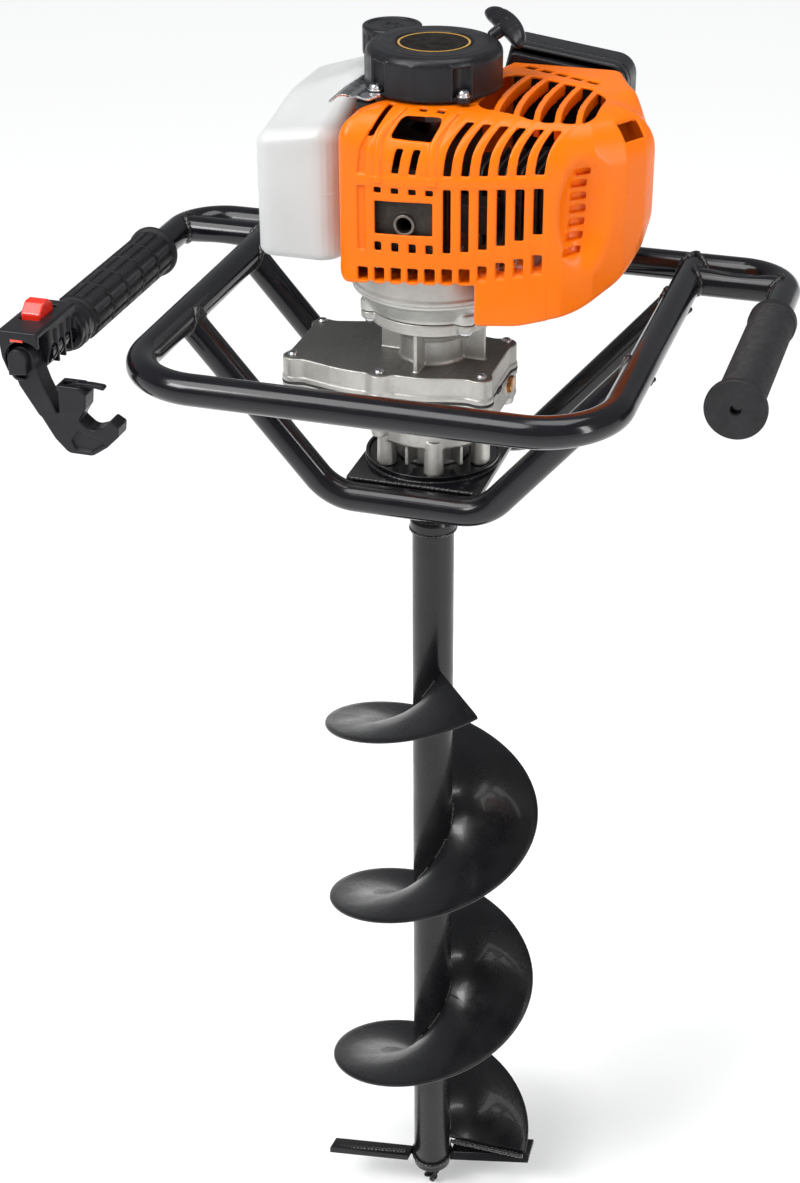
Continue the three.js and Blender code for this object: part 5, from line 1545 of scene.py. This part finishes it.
def shroud_view(drop=0.0):
    """The outline seen from the front: the left half ends at the engine, the right sweeps low."""
    left, right, top = SHROUD_LOW.x - 1.5, SHROUD_HIGH.x, DECK_Z + 8
    return [(left, EDGE_LEFT_Z - drop, 10), (STEP_X, EDGE_STEP_Z - drop), (STEP_X, SHROUD_LOW.z, 3),
            (92, 1008.5, 60), (134, 1018, 60), (168, 1044, 40), (right, 1086, 20), (right, top), (left, top)]


def swing(space):
    """How far right a slot has swung at each height: hardly on the wall, more over the shoulder."""
    return 0.1 * np.maximum(space.z - 1130, 0) + 0.0165 * np.maximum(space.z - 1143, 0) ** 2


def slot(space, x, z0, z1, width, lean=0.0, y1=-60.0):
    """A square-ended slot through the front wall; lean shifts it sideways and may be a field."""
    across = np.abs(space.x - x - lean) - width / 2
    return np.maximum(np.maximum(across, space.between(z0, z1)), space.y - y1)


def lipped_slot(space, outer, x, z0, z1, width, climb):
    """A slot whose lower lip rises inwards, so that its inside shows from above."""
    across = np.abs(space.x - x) - width / 2
    lip = z0 - climb * np.minimum(outer, 0) - space.z
    return np.maximum(np.maximum(across, np.maximum(lip, space.z - z1)), space.y + 50)


def front_slots(space, outer):
    window = space.front([(-20.7, 1079.5), (25.3, 1080.5), (25.3, 1107), (-20.7, 1106)])
    cuts = [np.maximum(window, space.y + 60)]
    for x in (-18.4, -4.6, 9.4, 22.8):
        cuts.append(slot(space, x, 1112.8, 1117.2, 5.8))
        cuts.append(slot(space, x, 1065.8, 1073, 5.6))
    for i in range(SLOTS):
        x, width = SLOT_X0 + SLOT_PITCH * i, SLOT_W + 0.2 * i
        cuts.append(slot(space, x, 1067.5 + 1.2 * i + 0.45 * i * i, 1118.5 + 0.6 * i, width))
        cuts.append(slot(space, x, 1129.5 + 0.6 * i, 1166.5 - 0.8 * i, width, swing(space), y1=-44))
        if i > 1:
            cuts.append(lipped_slot(space, outer, x, 1041 + 2.1 * i, 1051.5 + 3.3 * i, width + 0.4, 0.75))
    for x in (-4.3, 9.3):
        cuts.append(slot(space, x, 1129, 1148, 5.4, 1.8 * swing(space)))
    upper = space.front([(-10, 1154.5, 2), (22.5, 1153.5, 2), (29, 1168, 3), (-4, 1168, 6)])
    cuts.append(np.maximum(upper, space.y + 55))
    groove = space.front([(-26.5, 1156), (-23, 1156), (-13.5, 1176), (-18, 1176)])
    cuts.append(np.maximum(groove, space.y + 52))
    for i in range(ARCHES):
        x = ARCH_X0 + ARCH_PITCH * i
        cuts.append(lipped_slot(space, outer, x, EDGE_LEFT_Z + 3.2 + 0.6 * i, 1050.8 + 0.7 * i, ARCH_W, 0.4))
    return cuts


def deck_slots(space):
    cuts = [space.brick(x - 3, x + 3, -62.5, -56, 1150, 1180) for x in (9.5, 23.5)]
    cuts += [space.brick(-6, 6, -3.6, 3.6, 1150, 1180, -25, (60 + 14.6 * i, 74.8 - 6.8 * i))
             for i in range(5)]
    return cuts


def recess(outer, mark, depth, soft=0.8):
    """Sinks the outer face by depth wherever the mark's field is negative."""
    return minus(outer, np.maximum(mark, -(outer + depth)), soft)


def grooved(space, outer):
    """The long groove at the left, the parting line and the arc of louvres in the hollow."""
    straight = [(-34.6, 1065), (-28.4, 1065), (-28.4, 1117.5), (-34.6, 1117.5)]
    curved = [(-34.6, 1127.5), (-28.4, 1127.5), (-27, 1146), (-22, 1158), (-26, 1160), (-32, 1147)]
    for mark in (straight, curved):
        outer = recess(outer, space.front(mark), 2)
    outer = recess(outer, np.maximum(np.abs(space.x - 96) - 0.5, space.z - 1043), 0.6, 0.3)
    for i in range(LOUVRES):
        x = 129.5 + 0.4 * i + 3 * max(i - 5, 0)
        z = LOUVRE_Z0 + LOUVRE_PITCH * i
        edge = [(x - 5.6, z - 3), (x + 5, z - 2.4), (x + 5.4, z + 3.2), (x - 5.2, z + 2.8)]
        outer = recess(outer, np.maximum(space.front(edge), space.y + 30), 2.8, 0.6)
    return outer


def pillars(space, outer):
    """Raised posts on both sides of the upper opening, and the band between the two rows of slots."""
    rise = np.maximum(space.z - 1150, 0)
    for x, half, spread in ((-17.6, 2.2, 0.022), (25.4, 2.6, 0.020)):
        across = np.abs(space.x - x - spread * rise ** 2) - half - 0.06 * rise
        post = np.maximum(across, np.maximum(1122 - space.z, space.y + 62))
        outer = fuse(outer, within(outer - 1.8, post, 1), 1.5)
    slope = np.abs(space.z - BAND_Z - 0.035 * (space.x - 36)) - BAND_HALF
    band = np.maximum(slope, space.wide(-36, 113))
    return fuse(outer, within(outer - 0.9, band, 1.5), 1.5)


def scallops(space):
    """Notches in the lower edge between the arches."""
    notches = None
    for i in range(ARCHES - 1):
        x = ARCH_X0 + ARCH_PITCH * (i + 0.5)
        z = EDGE_LEFT_Z + 0.6 * (i + 0.5)
        notch = (np.abs(space.x - x) * 0.8 + space.z - z - 4.4) * 0.75
        notches = notch if notches is None else np.minimum(notches, notch)
    return np.maximum(notches, space.x - STEP_X + 5)


def oval(space):
    """The opening in the deck over the cylinder head."""
    return space.plan([(45, -44, 20), (100, -54, 40), (138, -42, 20), (138, 8, 20), (122, 30, 10),
                       (72, 50, 10), (46, 54, 9)])


def deck_bars(space):
    """Bowed bars across the oval opening, in step with the ribs of the front."""
    bow = 4 * ((space.y - 2) / 50) ** 2
    offset = space.x - 60 - bow
    bars = [np.abs(offset - 16.2 * i) - 2.5 for i in range(5)]
    return np.minimum.reduce(bars)


def dish(space, grow=0.0):
    """The hollow swept out of the shroud's right shoulder."""
    turn = math.radians(-38)
    c, s = math.cos(turn), math.sin(turn)
    dx, dy, dz = space.x - 162, space.y + 84, space.z - 1100
    u, v = dx * c + dy * s, dy * c - dx * s
    wide, deep, tall = 47 + grow, 31 + grow, 62 + grow
    return (np.sqrt((u / wide) ** 2 + (v / deep) ** 2 + (dz / tall) ** 2) - 1) * deep


def inner_ribs(space, outer):
    """Ribs behind the front wall between the slots, and a thicker lip along its lower edge."""
    ribs = [np.abs(space.x - SLOT_X0 - SLOT_PITCH * (i - 0.5) - swing(space)) - 1.6
            for i in range(SLOTS + 1)]
    ribs = within(np.minimum.reduce(ribs), np.maximum(outer, -(outer + RIB_DEPTH)))
    ribs = within(ribs, np.maximum(1064 - space.z, space.y + 30))
    depth = 4.5 + 3.5 * smooth_step(space.x, STEP_X - 4, STEP_X + 4)
    top = 1050 + 0.38 * np.maximum(space.x - STEP_X, 0)
    lip = np.maximum(np.maximum(outer, -(outer + depth)), np.maximum(space.z - top, space.y + 55))
    return fuse(ribs, within(lip, space.x - 113), 1)


def make_shroud():
    space = Space(SHROUD_LOW, SHROUD_HIGH, 0.85)
    plan = space.plan(shroud_plan())
    radius = SHOULDER_R - 34 * smooth_step(space.y, 0, 45)
    radius = radius * (0.62 + 0.38 * smooth_step(space.x, -46, -8))
    roof = rolled(plan, space.z - DECK_Z, radius)
    outer = rolled(roof, space.front(shroud_view()), 3)
    outer = minus(outer, dish(space), 4)
    open_back = np.maximum(30 - space.y, np.maximum(space.x - 120, 40 - space.x))
    hollow_plan = np.minimum(plan, open_back) + SHROUD_WALL
    hollow = rolled(hollow_plan, space.z - DECK_Z + SHROUD_WALL, np.maximum(radius - SHROUD_WALL, 1))
    hollow = within(hollow, space.front(shroud_view(80)) + SHROUD_WALL)
    hollow = minus(hollow, dish(space, SHROUD_WALL + 4), 3)
    shell = minus(grooved(space, pillars(space, outer)), hollow)
    shell = fuse(shell, inner_ribs(space, outer), 1)
    bars = within(deck_bars(space), np.maximum(outer + 0.6, -(outer + RIB_DEPTH)))
    bars = within(bars, oval(space) - 2)
    for opening in front_slots(space, outer) + deck_slots(space):
        shell = minus(shell, opening, 0.9)
    shell = minus(shell, scallops(space), 0.8)
    shell = fuse(minus(shell, oval(space), 2.5), bars, 1.5)
    shell = minus(shell, space.disc(70, 0, 0, 990, 1041))
    shell = minus(shell, space.disc(41, 0, 0, 1150, 1190))
    pocket = space.brick(-5.5, 4.5, -13, 10, 1140, 1190, -29, (165, -20))
    shell = minus(shell, pocket, 1.5)
    moulded("shroud_moulding", space, shell, "orange_plastic", "engine_shroud", passes=2)


make_shroud()


# ---- stage, light and camera --------------------------------------------------------------------
FLOOR_HALF, FLOOR_GLOW = 40, 0.27
SUN_POWER, SUN_SPREAD, SUN_AIM = 2.0, math.radians(40), Vector((0.45, 0.55, -1))
SOFT_BOX_AIM = Vector((0, 0, 0.9))
SOFT_BOXES = (  # name, place, width, height, power
    ("key", (-1.6, -2.0, 2.6), 1.0, 0.8, 36),
    ("top", (0.5, 0.0, 3.4), 1.4, 1.4, 26),
    ("right_strip", (2.3, -1.0, 1.6), 0.35, 1.8, 22),
)
WORLD_COLOUR, WORLD_POWER = (0.95, 0.97, 1.0, 1), 0.27


def make_stage():
    mesh = bpy.data.meshes.new("floor")
    half = FLOOR_HALF
    corners = [(-half, -half, 0), (half, -half, 0), (half, half, 0), (-half, half, 0)]
    mesh.from_pydata(corners, [], [(0, 1, 2, 3)])
    floor = bpy.data.objects.new("floor", mesh)
    bpy.context.scene.collection.objects.link(floor)
    pale = Finish("pale_floor", (0.86, 0.86, 0.86), 0.6)
    pale.shader.inputs["Emission Color"].default_value = (1, 1, 1, 1)
    pale.shader.inputs["Emission Strength"].default_value = FLOOR_GLOW
    mesh.materials.append(pale.done())


def soft_box(name, place, width, height, power):
    light = bpy.data.lights.new(name, "AREA")
    light.shape = "RECTANGLE"
    light.size, light.size_y = width, height
    light.energy = power
    holder = bpy.data.objects.new(name, light)
    holder.location = place
    holder.rotation_euler = (SOFT_BOX_AIM - Vector(place)).to_track_quat("-Z", "Y").to_euler()
    bpy.context.scene.collection.objects.link(holder)


def make_lights():
    """A broad soft sun for an even floor, and soft boxes for the long highlights on tubes."""
    sun = bpy.data.lights.new("sun", "SUN")
    sun.energy = SUN_POWER
    sun.angle = SUN_SPREAD
    holder = bpy.data.objects.new("sun", sun)
    holder.rotation_euler = SUN_AIM.to_track_quat("-Z", "Y").to_euler()
    bpy.context.scene.collection.objects.link(holder)
    for values in SOFT_BOXES:
        soft_box(*values)
    world = bpy.data.worlds.new("studio")
    world.use_nodes = True
    world.node_tree.nodes["Background"].inputs["Color"].default_value = WORLD_COLOUR
    world.node_tree.nodes["Background"].inputs["Strength"].default_value = WORLD_POWER
    bpy.context.scene.world = world


CAMERA_AZIMUTH = math.radians(17.17)
CAMERA_ELEVATION = math.radians(29.23)
CAMERA_ROLL = math.radians(-0.22)
CAMERA_DISTANCE = 1954.8
CAMERA_TARGET = Vector((-20.6, 0, 710.7))
SENSOR = 36
LENS = 66.2
SHIFT = (-0.0094, -0.0009)


def make_camera():
    a, e = CAMERA_AZIMUTH, CAMERA_ELEVATION
    forward = Vector((-math.sin(a) * math.cos(e), math.cos(a) * math.cos(e), -math.sin(e)))
    right = Vector((math.cos(a), math.sin(a), 0))
    up = right.cross(forward)
    c, s = math.cos(CAMERA_ROLL), math.sin(CAMERA_ROLL)
    right, up = right * c + up * s, up * c - right * s
    lens = bpy.data.cameras.new("camera")
    lens.sensor_width = SENSOR
    lens.lens = LENS
    lens.shift_x, lens.shift_y = SHIFT
    lens.clip_start, lens.clip_end = 0.05, 100
    holder = bpy.data.objects.new("camera", lens)
    turn = Matrix((right, up, -forward)).transposed().to_4x4()
    holder.matrix_world = Matrix.Translation((CAMERA_TARGET - forward * CAMERA_DISTANCE) * MM) @ turn
    bpy.context.scene.collection.objects.link(holder)
    bpy.context.scene.camera = holder
    bpy.context.scene.view_settings.view_transform = "Standard"


make_stage()
make_lights()
make_camera()
